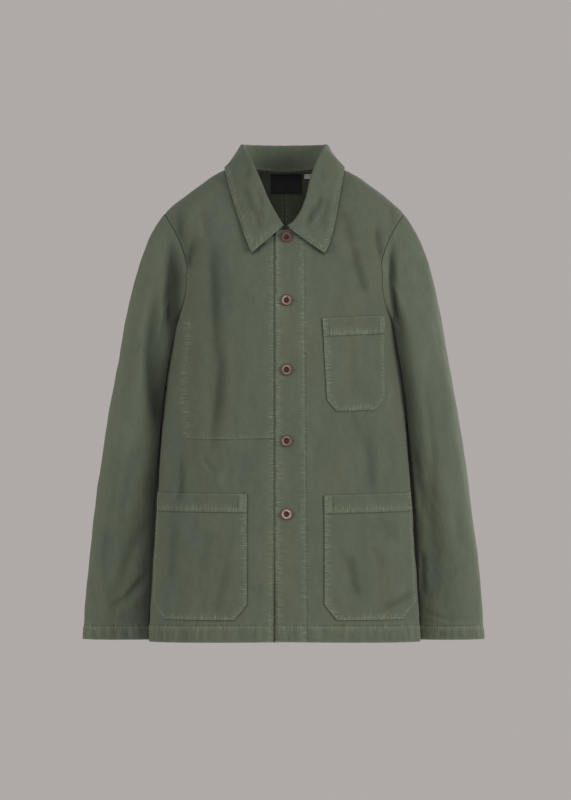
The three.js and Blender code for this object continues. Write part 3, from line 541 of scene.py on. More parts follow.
def along_line(x, z, points):
    """Signed distance from a bent line in the front view, the way along it, and its length."""
    best = np.full(np.broadcast(x, z).shape, 1e9)
    signed = np.zeros_like(best)
    along = np.zeros_like(best)
    gone = 0.0
    for (x0, z0), (x1, z1) in zip(points[:-1], points[1:]):
        dx, dz = x1 - x0, z1 - z0
        length = math.hypot(dx, dz)
        t = np.clip(((x - x0) * dx + (z - z0) * dz) / length**2, 0, 1)
        away = np.hypot(x - x0 - t * dx, z - z0 - t * dz)
        side = np.sign((x - x0) * dz - (z - z0) * dx)
        nearer = away < best
        best = np.where(nearer, away, best)
        signed = np.where(nearer, away * side, signed)
        along = np.where(nearer, gone + t * length, along)
        gone += length
    return signed, along, gone


def creases(p, table):
    height = np.zeros(p.shape[:-1])
    for c in table:
        away, along, length = along_line(p[..., 0], p[..., 2], c.points)
        r = away / c.width * np.where(away > 0, 1.25, 0.8)
        taper = ease((along + 3) / (0.3 * length)) * ease((length + 3 - along) / (0.3 * length))
        height -= c.depth * taper * (1 - 0.6 * r * r) * np.exp(-r * r / 1.2)
    return height


def waves(p, seed, count, shortest, longest, upright):
    """Smooth noise made of flat waves through space. upright above 1 stretches it up and down."""
    rng = np.random.default_rng(seed)
    total = np.zeros(p.shape[:-1])
    for _ in range(count):
        way = rng.normal(size=3) * (1, 1, 1 / upright)
        way /= np.linalg.norm(way)
        length = rng.uniform(shortest, longest)
        total += np.sin(p @ (way * 2 * math.pi / length) + rng.uniform(0, 6.28))
    return total / math.sqrt(count / 2)


def ripple(p):
    """The unevenness of washed canvas, the same on every piece at the same place."""
    height = 0.75 * waves(p, 11, 10, 70, 170, 2.2)
    height += 0.2 * waves(p, 12, 14, 26, 52, 1.8)
    height += 0.04 * waves(p, 13, 16, 9, 17, 1.3)
    bend = 1.4 * waves(p, 14, 6, 60, 120, 1.0)
    for k, way in enumerate(((0.09, 0.03, 0.035), (0.05, -0.07, -0.05), (-0.04, 0.05, 0.085))):
        ridge = 1 - np.abs(np.sin(p @ np.array(way) + bend + k * 1.9))
        height += 0.32 * ridge**4 * ease(waves(p, 20 + k, 5, 90, 200, 1.0) * 0.6)
    return height


def uneven(along, seed, shortest, longest):
    """Noise along a line, about -1 to 1."""
    rng = np.random.default_rng(seed)
    total = np.zeros_like(along)
    for _ in range(6):
        total += np.sin(2 * math.pi * along / rng.uniform(shortest, longest) + rng.uniform(0, 6.28))
    return total / 2.4


class Surface:
    """A grid of points with the way out of the cloth, the height that detail adds, and a field of
    rubbed lightening above nought and painted shade below it.
    """

    def __init__(self, point, normal):
        self.point = point
        self.normal = normal
        self.height = np.zeros(point.shape[:-1])
        # Above nought the cloth is rubbed lighter; below nought the field is painted shade.
        self.wear = np.zeros(point.shape[:-1])
        down = np.linalg.norm(np.diff(point, axis=0), axis=-1)
        self.from_first = np.concatenate([np.zeros((1, point.shape[1])), np.cumsum(down, axis=0)])
        self.from_last = self.from_first[-1:] - self.from_first
        across = np.linalg.norm(np.diff(point, axis=1), axis=-1)
        self.from_start = np.concatenate([np.zeros((point.shape[0], 1)), np.cumsum(across, axis=1)], 1)
        self.from_end = self.from_start[:, -1:] - self.from_start
        self.weave = stack(
            point[..., 0] / 1000, self.from_first / 1000, np.zeros(point.shape[:-1])
        )
        self.stitch = np.zeros(point.shape)
        self.stitch[..., 1] = 1000.0

    def shape(self):
        return self.point + self.normal * self.height[..., None]

    def pucker(self, away, along, seed, size, reach=5.0, spacing=8.0, keep=1.0, fine=1.0):
        """Cloth drawn up beside a stitch line: soft puckers here, fine ones left to the material."""
        wander = 2.6 * uneven(along, seed, 30, 90)
        strength = np.clip(0.65 + 0.55 * uneven(along, seed + 1, 14, 70), 0.05, 1.35)
        ridge = np.sin(2 * math.pi * along / spacing + wander + 0.1 * away)
        near = np.exp(-((away / reach) ** 2)) * keep
        self.height += size * strength * near * ridge
        self.height -= 0.3 * np.exp(-((away / 1.1) ** 2)) * keep
        self.wear += (0.12 + 0.18 * np.clip(ridge, 0, 1) * strength) * near * fine
        kept = np.broadcast_to(keep, away.shape)
        closer = (np.abs(away) < np.abs(self.stitch[..., 1])) & (kept > 0.02)
        field = stack(along + 137.0 * seed, away, fine * kept * (0.45 + 0.55 * strength))
        self.stitch = np.where(closer[..., None], field, self.stitch)

    def groove(self, away, width=1.4, dark=0.6, depth=0.0, keep=1.0):
        """A line darkened with painted shade where an edge stands over it, and sunk by depth."""
        near = np.exp(-((away / width) ** 2)) * keep
        # Painted shade: the cloth's colour is darkened along the line.
        self.wear -= dark * near
        self.height -= depth * near

    def band(self, away, rise, soft=1.6, keep=1.0):
        """Cloth that stands prouder where away is below zero, as over a facing or a hem."""
        self.height += rise * (1 - ease(away / soft + 0.5)) * keep

    def rub(self, away, seed, along, reach=1.6, amount=0.7, keep=1.0):
        """Lighter cloth along a worn edge."""
        worn = np.clip(0.7 + 0.5 * uneven(along, seed, 10, 50), 0, 1.2)
        self.wear += amount * worn * np.exp(-((away / reach) ** 2)) * keep


def grid_normals(p, wrap=False):
    rows = np.gradient(p, axis=0)
    if wrap:
        columns = (np.roll(p, -1, axis=1) - np.roll(p, 1, axis=1)) / 2
    else:
        columns = np.gradient(p, axis=1)
    return unit(np.cross(columns, rows))


# Body panels

NECK_ROW = {-1: 6 / 14, 1: 9 / 14}


def neck_seam(side, s):
    """The neck seam on the torso: s 0 at the centre front, 1 at the centre back."""
    s = np.asarray(s, float)
    front = s <= COLLAR_FRONT_SHARE
    angle = np.where(
        front,
        math.pi / 2 * s / COLLAR_FRONT_SHARE,
        math.pi / 2 * (1 - s) / (1 - COLLAR_FRONT_SHARE),
    )
    low = np.where(front, NECK["front_z"], NECK["back_z"])
    x = NECK["side_x"] * np.sin(angle)
    z = NECK["side_z"] - (NECK["side_z"] - low) * np.cos(angle)
    return np.where(front, -1.0, 1.0), turn_at(side * x, z), z


def panel_rows(hem_step, step):
    """Row places of a body panel: 0 to 1 from hem to underarm, 1 to 2 up to the shoulder."""
    height = UNDERARM_Z - HEM_Z
    start = HEM_ROWS_HEIGHT / height
    low = np.linspace(0, start, int(HEM_ROWS_HEIGHT / hem_step), endpoint=False)
    high = np.linspace(start, 1, int((height - HEM_ROWS_HEIGHT) / step), endpoint=False)
    top = np.linspace(1, 2, int(ARMHOLE_LENGTH / step))
    rows = np.concatenate([low, high, top])
    return rows if len(rows) % 2 else np.concatenate([rows[:1], rows[1:2] / 2, rows[1:]])


def panel_grid(face, side, edge_x, q, u):
    """Turn and height on the torso for each row place q and share u from the middle to the side."""
    low = np.clip(q, 0, 1)
    high = np.clip(q - 1, 0, 1)
    top = NECK["front_z"] if face < 0 else NECK["back_z"]
    neck = NECK_ROW[face]
    rise = np.clip(high / neck, 0, 1)
    inner_z = np.where(q <= 1, mix(HEM_Z, UNDERARM_Z, low), mix(top, UNDERARM_Z, (1 - rise) ** 1.4))
    if face < 0:
        inner_z = inner_z + HEM_RISE * (1 - ease(low * 15))
    inner_turn = turn_at(edge_x, inner_z)
    over = np.clip((high - neck) / (1 - neck), 0, 1)
    station = COLLAR_FRONT_SHARE * over if face < 0 else 1 - (1 - COLLAR_FRONT_SHARE) * over
    _, neck_turn, neck_z = neck_seam(side, station)
    in_neck = high > neck
    inner_turn = np.where(in_neck, neck_turn, inner_turn)
    inner_z = np.where(in_neck, neck_z, inner_z)
    hole = -face * math.pi * (2 - q)
    _, hole_turn, hole_z = armhole_at(hole)
    outer_turn = side * np.where(q <= 1, math.pi / 2, hole_turn)
    outer_z = np.where(q <= 1, mix(HEM_Z, UNDERARM_Z, low), hole_z)
    turn = mix(inner_turn[:, None], outer_turn[:, None], u[None, :])
    z = mix(inner_z[:, None], outer_z[:, None], u[None, :])
    return turn, z, hole


def body_panel(face, side, edge_x, step, columns, look):
    q = panel_rows(1.5, step)
    t = np.linspace(0, 1, columns)
    u = t - 0.38 * np.sin(2 * math.pi * t) / (2 * math.pi)
    turn, z, hole = panel_grid(face, side, edge_x, q, u)
    point, normal = torso(np.full(turn.shape, float(face)), turn, z)
    above = q > 1
    seam, seam_normal, across = armhole_seam(side, hole[above])
    blend = ease((u - 0.86) / 0.14)[None, :, None]
    normal[above] = unit(normal[above] * (1 - blend) + seam_normal[:, None, :] * blend)
    point[above, -1] = seam - across * SEAM_GAP / 2
    surface = Surface(point, normal)
    surface.q = q
    pull = SEAM_GAP / 2
    low = ~above
    point[low, -1] -= unit(point[low, -1] - point[low, -2]) * pull
    point[-1] -= unit(point[-1] - point[-2]) * pull
    facing = ease(np.abs(normal[..., 1]) * 1.5)
    on_hole = surface.from_end + 400 * (1 - ease((q - 0.9) / 0.1))[:, None]
    calm = ease(on_hole / 9)
    table = BODY_FRONT if face < 0 else BODY_BACK
    detail = creases(point, table) * facing * calm * look.fold_strength
    surface.height += ripple(point) + detail
    large = large_folds(np.full(turn.shape, float(face)), point[..., 0], z, turn)
    # Painted shade in the troughs of the folds, a little lightening on their ridges.
    surface.wear += painted_fold_shade(detail + large)
    return surface


def painted_fold_shade(height):
    """Painted shade in the fold troughs; ridges a little lighter, partly rubbed, partly painted light."""
    return -0.25 * np.clip(-height / 7, 0, 1) + 0.05 * np.clip(height / 2, 0, 1)


def add_hem(surface, seed, size):
    hem = surface.from_first
    along = surface.from_start
    surface.band(hem - HEM_DEPTH, 0.7, 1.2)
    surface.pucker(hem - HEM_STITCH, along, seed, size, reach=7, spacing=11)
    surface.pucker(hem - 9, along, seed + 3, size * 1.9, reach=10, spacing=12, fine=0.2)
    # Lighter and darker blocks along the foot of the hem: partly rubbed roping, partly painted light and
    # shade of its puckers.
    patches = np.clip(uneven(along, seed + 9, 11, 34), -0.4, 1.0)
    surface.wear += 0.3 * patches * np.exp(-(((hem - 13) / 10) ** 2))
    surface.rub(hem, seed + 5, along, 1.6, 0.6)
    # Painted shade in a line just above the turned hem's edge.
    surface.groove(hem - (HEM_DEPTH + 1.5), 1.2, 0.35)


def add_side_and_armhole(surface, seed, size):
    """Puckers down the side seam and along the shoulder, and a plain sunk seam at the armhole, darkened
    with painted shade.
    """
    up = surface.from_first
    low = (surface.q <= 1.0)[:, None] * 1.0
    surface.pucker(surface.from_end - 1.5, up, seed, size * 0.6, reach=5, keep=low)
    high = (1 - low) * ease((surface.q - 1.0) / 0.05)[:, None]
    surface.pucker(surface.from_end - 2.0, up, seed + 2, size * 0.4, 5, 12, high, 0.3)
    surface.height -= 0.7 * np.exp(-((surface.from_end / 1.8) ** 2)) * high
    surface.groove(surface.from_end, 0.8, 0.95, keep=high)
    top = surface.from_last
    surface.pucker(top - 5.0, surface.from_start, seed + 5, size * 0.4, reach=4, fine=0.5)
    surface.band(top - 6.5, 0.35)


def front_surface(side, look):
    """A front panel with its placket, hem, seams and, on the right, the inner pocket's lines."""
    size = look.pucker_height * 1000
    edge_x = OVERLAP["edge_x"] if side > 0 else OVERLAP["under_edge_x"]
    surface = body_panel(-1, side, edge_x, 1.8, 141, look)
    x = surface.point[..., 0]
    z = surface.point[..., 2]
    up = surface.from_first
    if side > 0:
        surface.rub(surface.from_start, 3, up, 1.3, 0.7)
        surface.pucker(surface.from_start - FRONT_EDGE_STITCH, up, 5, size, 6.5, 9.5, fine=1.0)
        line = x - placket_line(z)
        surface.band(line - 1.8, 0.6, 1.2)
        surface.pucker(line, up, 8, size, 6.5, 8.6, fine=1.0)
        # Painted shade beside the facing's stitching.
        surface.groove(line - 3.4, 1.3, 0.32, 0.15)
    else:
        drop = CLOTH + OVERLAP["under_gap"]
        near = ease((x - OVERLAP["edge_x"] + OVERLAP["blend_x"]) / OVERLAP["blend_x"])
        surface.height -= drop * near
        line = x + under_line(z)
        surface.pucker(line, up, 15, size * 0.9, 5.5, 8.8, fine=1.0)
        # Painted shadow on the under front beside the overlapping front's edge.
        surface.groove(x - OVERLAP["edge_x"] + 0.6, 1.5, 0.5)
        away, along, length = along_line(x, z, INNER_POCKET_SIDE)
        near = ease(along / 12) * ease((length + 3 - along) / 6)
        surface.pucker(away, along, 21, size * 0.8, 6, 9.2, near, 1.2)
        surface.height += 0.8 * np.exp(-((away / 4.5) ** 2)) * near
        hook, along, length = along_line(x, z, INNER_POCKET_HOOK)
        surface.wear += 0.2 * np.exp(-((hook / 1.0) ** 2)) * ease((length + 1 - along) / 2)
        away, along, length = along_line(x, z, INNER_POCKET_FOOT)
        near = ease((along + 2) / 4)
        surface.pucker(away + 1.5, along, 23, size * 0.4, 5, 10, near, 0.45)
        surface.height += 0.7 * ease(-away / 1.6 + 0.5) * np.exp(-((away / 14) ** 2)) * near
        # Painted shade under the inner pocket's foot.
        surface.groove(away - 1.2, 1.1, 0.6, 0.2, near)
        surface.rub(away + 1.4, 24, along, 1.0, 0.4, keep=near)
    add_hem(surface, 31 if side > 0 else 41, size)
    add_side_and_armhole(surface, 51 if side > 0 else 61, size)
    # Painted shade along the lines of the shade table.
    shade_lines(surface, FRONT_SHADE, 1.0)
    # Painted shadow on the panel under the collar's outer edge.
    table = COLLAR_LEFT if side > 0 else COLLAR_RIGHT
    rim = [(side * row.edge_x, row.edge_z) for row in table[4::-1]]
    rim.append((side * table[0].fold_x, table[0].fold_z))
    away, _, _ = along_line(x, z, rim)
    surface.groove(away, 2.6, 0.85)
    # Painted shadow in a thin line round each pocket.
    for pocket in POCKETS.values():
        if (pocket.top_left[0] > 0) == (side > 0):
            shade_pocket_edge(surface, pocket, x, z)
    return surface


# Paints shade into the cloth's colour along each line of a shade table.
def shade_lines(surface, table, keep):
    for c in table:
        away, along, length = along_line(surface.point[..., 0], surface.point[..., 2], c.points)
        taper = ease(along / (0.4 * length)) * ease((length + 6 - along) / (0.2 * length))
        surface.groove(away * np.where(away > 0, 1.3, 0.75), c.width, c.depth, keep=taper * keep)


def placket_line(z):
    """How far the facing's stitching lies from the centre on the overlapping front."""
    return mix(32.0, 28.5, ease((z - HEM_Z) / 640))


def under_line(z):
    """How far the under front's stitching lies from the centre."""
    return mix(22.0, 18.5, ease((z - HEM_Z) / 200))


def shade_pocket_edge(surface, pocket, x, z):
    """A thin line of painted shadow on the panel round a pocket, under its edge."""
    (ax, az), (bx, bz) = pocket.bottom_left, pocket.bottom_right
    cut = pocket.cut
    corners = (
        (ax, az + cut), (ax + 0.8 * cut, az), (bx - 0.8 * cut, bz), (bx, bz + cut),
        pocket.top_right, pocket.top_left, (ax, az + cut),
    )
    away, _, _ = along_line(x, z, corners)
    surface.groove(away, 1.5, 0.5)


def back_surface(side, look):
    size = look.pucker_height * 1000
    surface = body_panel(1, side, 0.0, 2.6, 111, look)
    add_hem(surface, 71 if side > 0 else 81, size)
    add_side_and_armhole(surface, 91 if side > 0 else 101, size)
    up = surface.from_first
    on_seam = (surface.q <= 1 + NECK_ROW[1])[:, None] * 1.0
    surface.band(surface.from_start - 7.5, 0.4 if side > 0 else 0.2, keep=on_seam)
    away = surface.from_start - BACK_SEAM_STITCH
    surface.pucker(away, up, 111, size * 0.8, 5.5, keep=on_seam)
    # Painted shade along the centre back seam.
    surface.groove(surface.from_start, 1.1, 0.7, keep=on_seam)
    return surface


def sleeve_surface(arm, look):
    size = look.pucker_height * 1000
    turns = np.linspace(0, 2 * math.pi, 148, endpoint=False)
    v = np.concatenate([np.linspace(0, 0.96, 262, endpoint=False), np.linspace(0.96, 1, 19)])
    turn = np.broadcast_to(turns, (len(v), len(turns))).copy()
    share = np.broadcast_to(v[:, None], turn.shape).copy()
    point, normal = sleeve(arm, turn, share)
    seam, seam_normal, across = armhole_seam(arm, turns)
    point[0] = seam + across * SEAM_GAP / 2
    blend = (1 - ease(v / 0.05))[:, None, None]
    normal = unit(normal * (1 - blend) + seam_normal[None] * blend)
    surface = Surface(point, normal)
    distance, _ = outside_torso(point)
    calm = ease(surface.from_first / 16)
    free = mix(1.0, ease((distance - 2) / 9), ease(surface.from_first / 40))
    front = ease(-normal[..., 1] * 1.4)
    back = ease(normal[..., 1] * 1.4)
    detail = creases(point, ARM_FRONT) * front + creases(point, ARM_BACK) * back
    detail = detail * calm * free * look.fold_strength
    surface.height += ripple(point) * free + detail
    # Painted shade in the troughs of the sleeve's folds, a little lightening on their ridges.
    surface.wear += painted_fold_shade(detail + 0.5 * sleeve_folds(arm, turn, share))
    # Painted shade along the sleeves' lines of the shade table.
    shade_lines(surface, ARM_SHADE, front)
    # Painted shade on the sleeve where it passes close behind the body.
    beside = ease((surface.from_first - 60) / 60) * front
    surface.groove(distance - 4, 11 if arm < 0 else 5, 0.42, keep=beside)
    down = surface.from_first
    along = surface.from_start
    surface.pucker(down - 2.5, along, 121 + arm, size * 0.5, 6, 11, fine=0.3)
    surface.height -= 0.6 * np.exp(-((down / 1.6) ** 2))
    # Painted shade along the armhole seam.
    surface.groove(down, 0.8, 0.9)
    cuff = surface.from_last
    surface.band(cuff - CUFF_DEPTH, 0.7, 1.2)
    surface.pucker(cuff - CUFF_STITCH, along, 125 + arm, size, 7, 10)
    surface.pucker(cuff - 7, along, 127 + arm, size * 1.5, 8, 12, fine=0.2)
    # Lighter and darker blocks along the cuff: partly rubbed roping, partly painted light and shade of its
    # puckers.
    patches = np.clip(uneven(along, 135 + arm, 11, 34), -0.4, 1.0)
    surface.wear += 0.3 * patches * np.exp(-(((cuff - 11) / 9) ** 2))
    # Painted shade in a line just above the turned cuff's edge.
    surface.groove(cuff - (CUFF_DEPTH + 1.5), 1.2, 0.35)
    surface.rub(cuff, 129 + arm, along, 1.6, 0.6)
    under = np.arctan2(np.sin(turn - math.radians(215)), np.cos(turn - math.radians(215)))
    away = under * 45
    surface.pucker(away - 3, down, 133 + arm, size * 0.7, 5, 9)
    # Painted shade along the seam under the sleeve.
    surface.groove(away, 1.2, 0.6, 0.5)
    return surface


# Collar


def collar_path(side, s, table):
    """Sections from the neck seam up the stand, over the fold and down the fall."""

    def place(kind, at):
        lines = [smooth_line(table, f"{kind}_{axis}", "s") for axis in "xyz"]
        return stack(side * lines[0](at), lines[1](at), lines[2](at))

    face, turn, z = neck_seam(side, s)
    seam = torso(face, turn, z)[0]
    fold = place("fold", s)
    edge = place("edge", s)
    up = unit(fold - seam)
    along = place("fold", np.minimum(1, s + 0.02)) - place("fold", np.maximum(0, s - 0.02))
    along = np.where((s >= 0.98)[:, None], np.array([-side, 0.0, 0.0]), along)
    outward = unit(np.cross(along, up) * side)
    top = fold - up * (COLLAR_TURN + COLLAR_CLOTH)
    parts = []
    for t in np.linspace(0, 1, STAND_STEPS):
        parts.append(mix(seam + up * SEAM_GAP * 1.6, top, t))
    around = top + outward * COLLAR_TURN
    for turn_degrees in np.linspace(165, 15, TURN_STEPS):
        a = math.radians(turn_degrees)
        parts.append(around + outward * math.cos(a) * COLLAR_TURN + up * math.sin(a) * COLLAR_TURN)
    fall_top = around + outward * COLLAR_TURN
    bow = mix(fall_top, edge, 0.45) + outward * 3.5
    for t in np.linspace(0, 1, FALL_STEPS):
        parts.append(fall_top * (1 - t) ** 2 + bow * 2 * t * (1 - t) + edge * t * t)
    path = np.stack(parts, axis=1)
    fall = path[:, STAND_STEPS + TURN_STEPS:]
    distance, out = outside_torso(fall)
    fall += out * np.clip(FALL_CLEARANCE - distance, 0, None)[..., None]
    return path


def collar_surface(look):
    size = look.pucker_height * 1000
    s = COLLAR_START + (1 - COLLAR_START) * np.linspace(0, 1, 121)
    right = collar_path(-1, s, COLLAR_RIGHT)
    left = collar_path(1, s, COLLAR_LEFT)
    path = np.concatenate([right, left[-2::-1]])
    round_way = np.gradient(path, axis=0)
    up_way = np.gradient(path, axis=1)
    out = -unit(np.cross(up_way, round_way))
    surface = Surface(path + out * COLLAR_CLOTH, out)
    from_edge = surface.from_end
    from_front = np.minimum(surface.from_first, surface.from_last)
    fall_start = STAND_STEPS + TURN_STEPS + 1
    on_fall = ease((np.arange(path.shape[1]) - fall_start) / 8)[None, :]
    nearest = np.minimum(from_edge, from_front)
    along = np.where(from_edge < from_front, surface.from_first, surface.from_start)
    surface.height += 0.45 * waves(surface.point, 31, 8, 35, 80, 1.2) * on_fall
    surface.height += 0.12 * waves(surface.point, 32, 12, 12, 24, 1.0)
    surface.height *= ease(nearest / 8) * 0.6 + 0.4
    surface.pucker(nearest - COLLAR_STITCH, along, 141, size, 5.5, 8.2, on_fall, 1.1)
    surface.rub(nearest, 145, along, 1.4, 0.6, keep=on_fall)
    stand = surface.from_start
    surface.pucker(stand - STAND_STITCH, surface.from_first, 147, size * 0.4, 4, 9, fine=0.7)
    front = on_fall * (surface.point[..., 1] < 0)
    for c in COLLAR_CREASES:
        away, way, length = along_line(surface.point[..., 0], surface.point[..., 2], c.points)
        taper = ease((way + 3) / (0.3 * length)) * ease((length + 3 - way) / (0.3 * length))
        r = away / c.width
        trough = c.depth * taper * (1 - 0.6 * r * r) * np.exp(-r * r / 1.2) * front
        surface.height -= trough
        # Painted shade darkens the collar's creases.
        surface.wear -= 0.16 * trough
    return surface


# Pockets


def pocket_surface(name, look):
    """A patch on the front, a little fuller in the middle, with a doubled mouth band."""
    size = look.pucker_height * 1000
    pocket = POCKETS[name]
    fine = name == "pocket_chest"
    rows = 99 if fine else 117
    columns = 65 if fine else 85
    share = np.linspace(0, 1, rows)
    height = pocket.top_left[1] - pocket.bottom_left[1]
    cut = pocket.cut / height
    inset = pocket.cut * 0.8 * np.clip((share - (1 - cut)) / cut, 0, 1)
    left_x = mix(pocket.top_left[0], pocket.bottom_left[0], share) + inset
    right_x = mix(pocket.top_right[0], pocket.bottom_right[0], share) - inset
    left_z = mix(pocket.top_left[1], pocket.bottom_left[1], share)
    right_z = mix(pocket.top_right[1], pocket.bottom_right[1], share)
    u = np.linspace(0, 1, columns)
    x = mix(left_x[:, None], right_x[:, None], u)
    z = mix(left_z[:, None], right_z[:, None], u)
    point, normal = torso(np.full(x.shape, -1.0), turn_at(x, z), z)
    facing = ease(np.abs(normal[..., 1]) * 1.5)
    detail = creases(point, BODY_FRONT) * facing * look.fold_strength
    surface = Surface(point, normal)
    surface.height += ripple(point) + detail + CLOTH + 1.0
    # Painted shade in the troughs of the folds, a little lightening on their ridges.
    surface.wear += painted_fold_shade(detail)
    # Painted shade along the lines of the shade table.
    shade_lines(surface, FRONT_SHADE, 1.0)
    from_top = surface.from_first
    corner = np.maximum(0, (share - (1 - cut)) / cut)[:, None]
    slope = np.where(corner > 0, 0.78, 1)
    from_left = surface.from_start * slope
    from_right = surface.from_end * slope
    edge = np.minimum(np.minimum(from_left, from_right), surface.from_last)
    foot = surface.from_last < np.minimum(from_left, from_right)
    along = np.where(foot, point[..., 0], -point[..., 2])
    reach = np.minimum(np.minimum(surface.from_start, surface.from_end), surface.from_last)
    full = ease(reach / 45) * ease(from_top / 60) ** 0.5
    surface.height += (0.5 if fine else 1.8) * full
    seed = 151 + rows + int(pocket.under)
    surface.pucker(edge - POCKET_STITCH, along, seed, size, 6.0, 8.4, fine=1.15)
    surface.rub(edge, 153, along, 1.3, 0.55)
    band = pocket.band - 2
    surface.band(from_top - band, 0.8, 1.0)
    on_band = from_top - band + POCKET_BAND_STITCH
    surface.pucker(on_band, surface.from_start, 157 + rows, size * 0.9, 6, 10)
    # Painted shadow under the mouth band's edge.
    surface.groove(from_top - band - 1.4, 1.0, 0.75, 0.2)
    surface.rub(from_top, 158, surface.from_start, 1.3, 0.5)
    surface.rub(from_top - band + 0.8, 159, surface.from_start, 1.0, 0.5)
    inner = surface.from_end if name != "pocket_left" else surface.from_start
    tab = ease((band - from_top) / 2)
    surface.pucker(inner - 6.0, from_top, 161, size * 0.6, 5, 7, tab, 1.2)
    surface.wear += 0.16 * (1 - ease((inner - 11.5) / 1.5)) * tab
    # Painted shade along the mouth tab's lines.
    surface.groove(inner - (11.0 if fine else 12.8), 1.1, 0.5, 0.3, tab)
    if fine:
        surface.groove(surface.from_start - 9.0, 1.1, 0.35, 0.2, tab)
    surface.band_height = band
    surface.inner = inner
    return surface


# Meshes


def shell(name, surface, thickness, wrap=False, flare=(0, 0, 0, 0)):
    """A closed cloth wall: a dense outer face, an inner one at half the density, and the rims.

    flare is how far the wall's foot stands out past its face, in shade, at the first and last row
    and the first and last column; a flared foot is painted dark, a painted shadow line.
    """
    outer = surface.shape()
    out = surface.normal
    wear = surface.wear
    rows, columns = outer.shape[:2]
    thick = np.broadcast_to(np.asarray(thickness, float), (rows, columns))
    inner = (outer - out * thick[..., None])[::2, ::2]
    inner_wear_and_shade = wear[::2, ::2] * 0.5
    spread = inner.copy()
    for amount, at, before in zip(
        flare,
        (np.s_[0], np.s_[-1], np.s_[:, 0], np.s_[:, -1]),
        (np.s_[1], np.s_[-2], np.s_[:, 1], np.s_[:, -2]),
    ):
        if amount:
            spread[at] += unit(inner[at] - inner[before]) * amount
            # Painted shadow: the flared foot takes the darkest shade.
            inner_wear_and_shade[at] = -1.0
    inner = spread
    inner_rows, inner_columns = inner.shape[:2]
    points = np.concatenate([outer.reshape(-1, 3), inner.reshape(-1, 3)])
    start = rows * columns
    big = np.arange(start).reshape(rows, columns)
    small = start + np.arange(inner_rows * inner_columns).reshape(inner_rows, inner_columns)
    if wrap:
        big = np.concatenate([big, big[:, :1]], axis=1)
        small = np.concatenate([small, small[:, :1]], axis=1)

    def faces(grid):
        a, b, c, d = grid[:-1, :-1], grid[:-1, 1:], grid[1:, 1:], grid[1:, :-1]
        first = np.stack([a, b, c], axis=-1).reshape(-1, 3)
        return np.concatenate([first, np.stack([a, c, d], axis=-1).reshape(-1, 3)])

    def rim(dense, sparse):
        a, b, c = dense[0:-2:2], dense[1:-1:2], dense[2::2]
        low, high = sparse[:-1], sparse[1:]
        one = np.stack([b, a, low], axis=-1)
        two = np.stack([b, low, high], axis=-1)
        return np.concatenate([one, two, np.stack([c, b, high], axis=-1)])

    parts = [faces(big), faces(small)[:, ::-1], rim(big[0], small[0]), rim(big[-1], small[-1])[:, ::-1]]
    if not wrap:
        parts.append(rim(big[:, 0], small[:, 0])[:, ::-1])
        parts.append(rim(big[:, -1], small[:, -1]))
    triangles = np.concatenate(parts)
    corners = points[triangles]
    volume = np.einsum("ij,ij->i", corners[:, 0], np.cross(corners[:, 1], corners[:, 2])).sum()
    if volume < 0:
        triangles = triangles[:, ::-1]
    all_wear_and_shade = np.concatenate([wear.ravel(), inner_wear_and_shade.ravel()])
    fields = {}
    for field, values in (("weave", surface.weave), ("stitch", surface.stitch * (0.001, 0.001, 1))):
        fields[field] = np.concatenate([values.reshape(-1, 3), values[::2, ::2].reshape(-1, 3)])
    return make_piece(name, points, triangles, all_wear_and_shade, fields)


def make_piece(name, points, triangles, wear=None, fields=None, sharp=58):
    """A mesh object from millimetre points, in the frame's axes."""
    mesh = bpy.data.meshes.new(name)
    mesh.vertices.add(len(points))
    mesh.vertices.foreach_set("co", (points / 1000).astype(np.float32).ravel())
    mesh.loops.add(triangles.size)
    mesh.loops.foreach_set("vertex_index", triangles.astype(np.int32).ravel())
    mesh.polygons.add(len(triangles))
    mesh.polygons.foreach_set("loop_start", np.arange(0, triangles.size, 3, dtype=np.int32))
    mesh.update(calc_edges=True)
    mesh.polygons.foreach_set("use_smooth", np.ones(len(triangles), dtype=bool))
    mesh.set_sharp_from_angle(angle=math.radians(sharp))
    if wear is not None:
        # The field carries rubbed lightening above nought and painted shade below it.
        field = mesh.attributes.new("wear", "FLOAT", "POINT")
        field.data.foreach_set("value", np.clip(wear, -1, 1.4).astype(np.float32))
    for key, values in (fields or {}).items():
        field = mesh.attributes.new(key, "FLOAT_VECTOR", "POINT")
        field.data.foreach_set("vector", values.astype(np.float32).ravel())
    if mesh.validate():
        raise RuntimeError(f"{name} has a broken mesh")
    piece = bpy.data.objects.new(name, mesh)
    bpy.context.scene.collection.objects.link(piece)
    return piece


def dress(piece, material, slot):
    piece.data.materials.append(material)
    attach(piece, "root")
    return piece


def cut_size(surface, wrap=False):
    """The flat cut of what shows: width, length and area in metres, from the smooth form."""
    p = surface.point
    if wrap:
        p = np.concatenate([p, p[:, :1]], axis=1)
    across = np.linalg.norm(np.diff(p, axis=1), axis=-1)
    down = np.linalg.norm(np.diff(p, axis=0), axis=-1)
    one = np.cross(p[:-1, 1:] - p[:-1, :-1], p[1:, :-1] - p[:-1, :-1])
    two = np.cross(p[1:, :-1] - p[1:, 1:], p[:-1, 1:] - p[1:, 1:])
    area = (np.linalg.norm(one, axis=-1) + np.linalg.norm(two, axis=-1)).sum() / 2e6
    width = across.sum(axis=1).max() / 1000
    length = down.sum(axis=0).max() / 1000
    return width, length, min(area, width * length)


def cloth_piece(node_name, surface, thickness, material, slot, wrap=False, flare=(0, 0, 0, 0)):
    """The cloth that stands for one of the frame's nodes."""
    piece = dress(shell(node_name + "_cloth", surface, thickness, wrap, flare), material, slot)
    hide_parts(node_name)
    return piece


def face_outwards(surface, wrap=False):
    """Keep the normals of the finished face, for what is laid on it."""
    normals = grid_normals(surface.shape(), wrap)
    surface.true_normal = normals * np.sign(np.sum(normals * surface.normal))


# Stitches


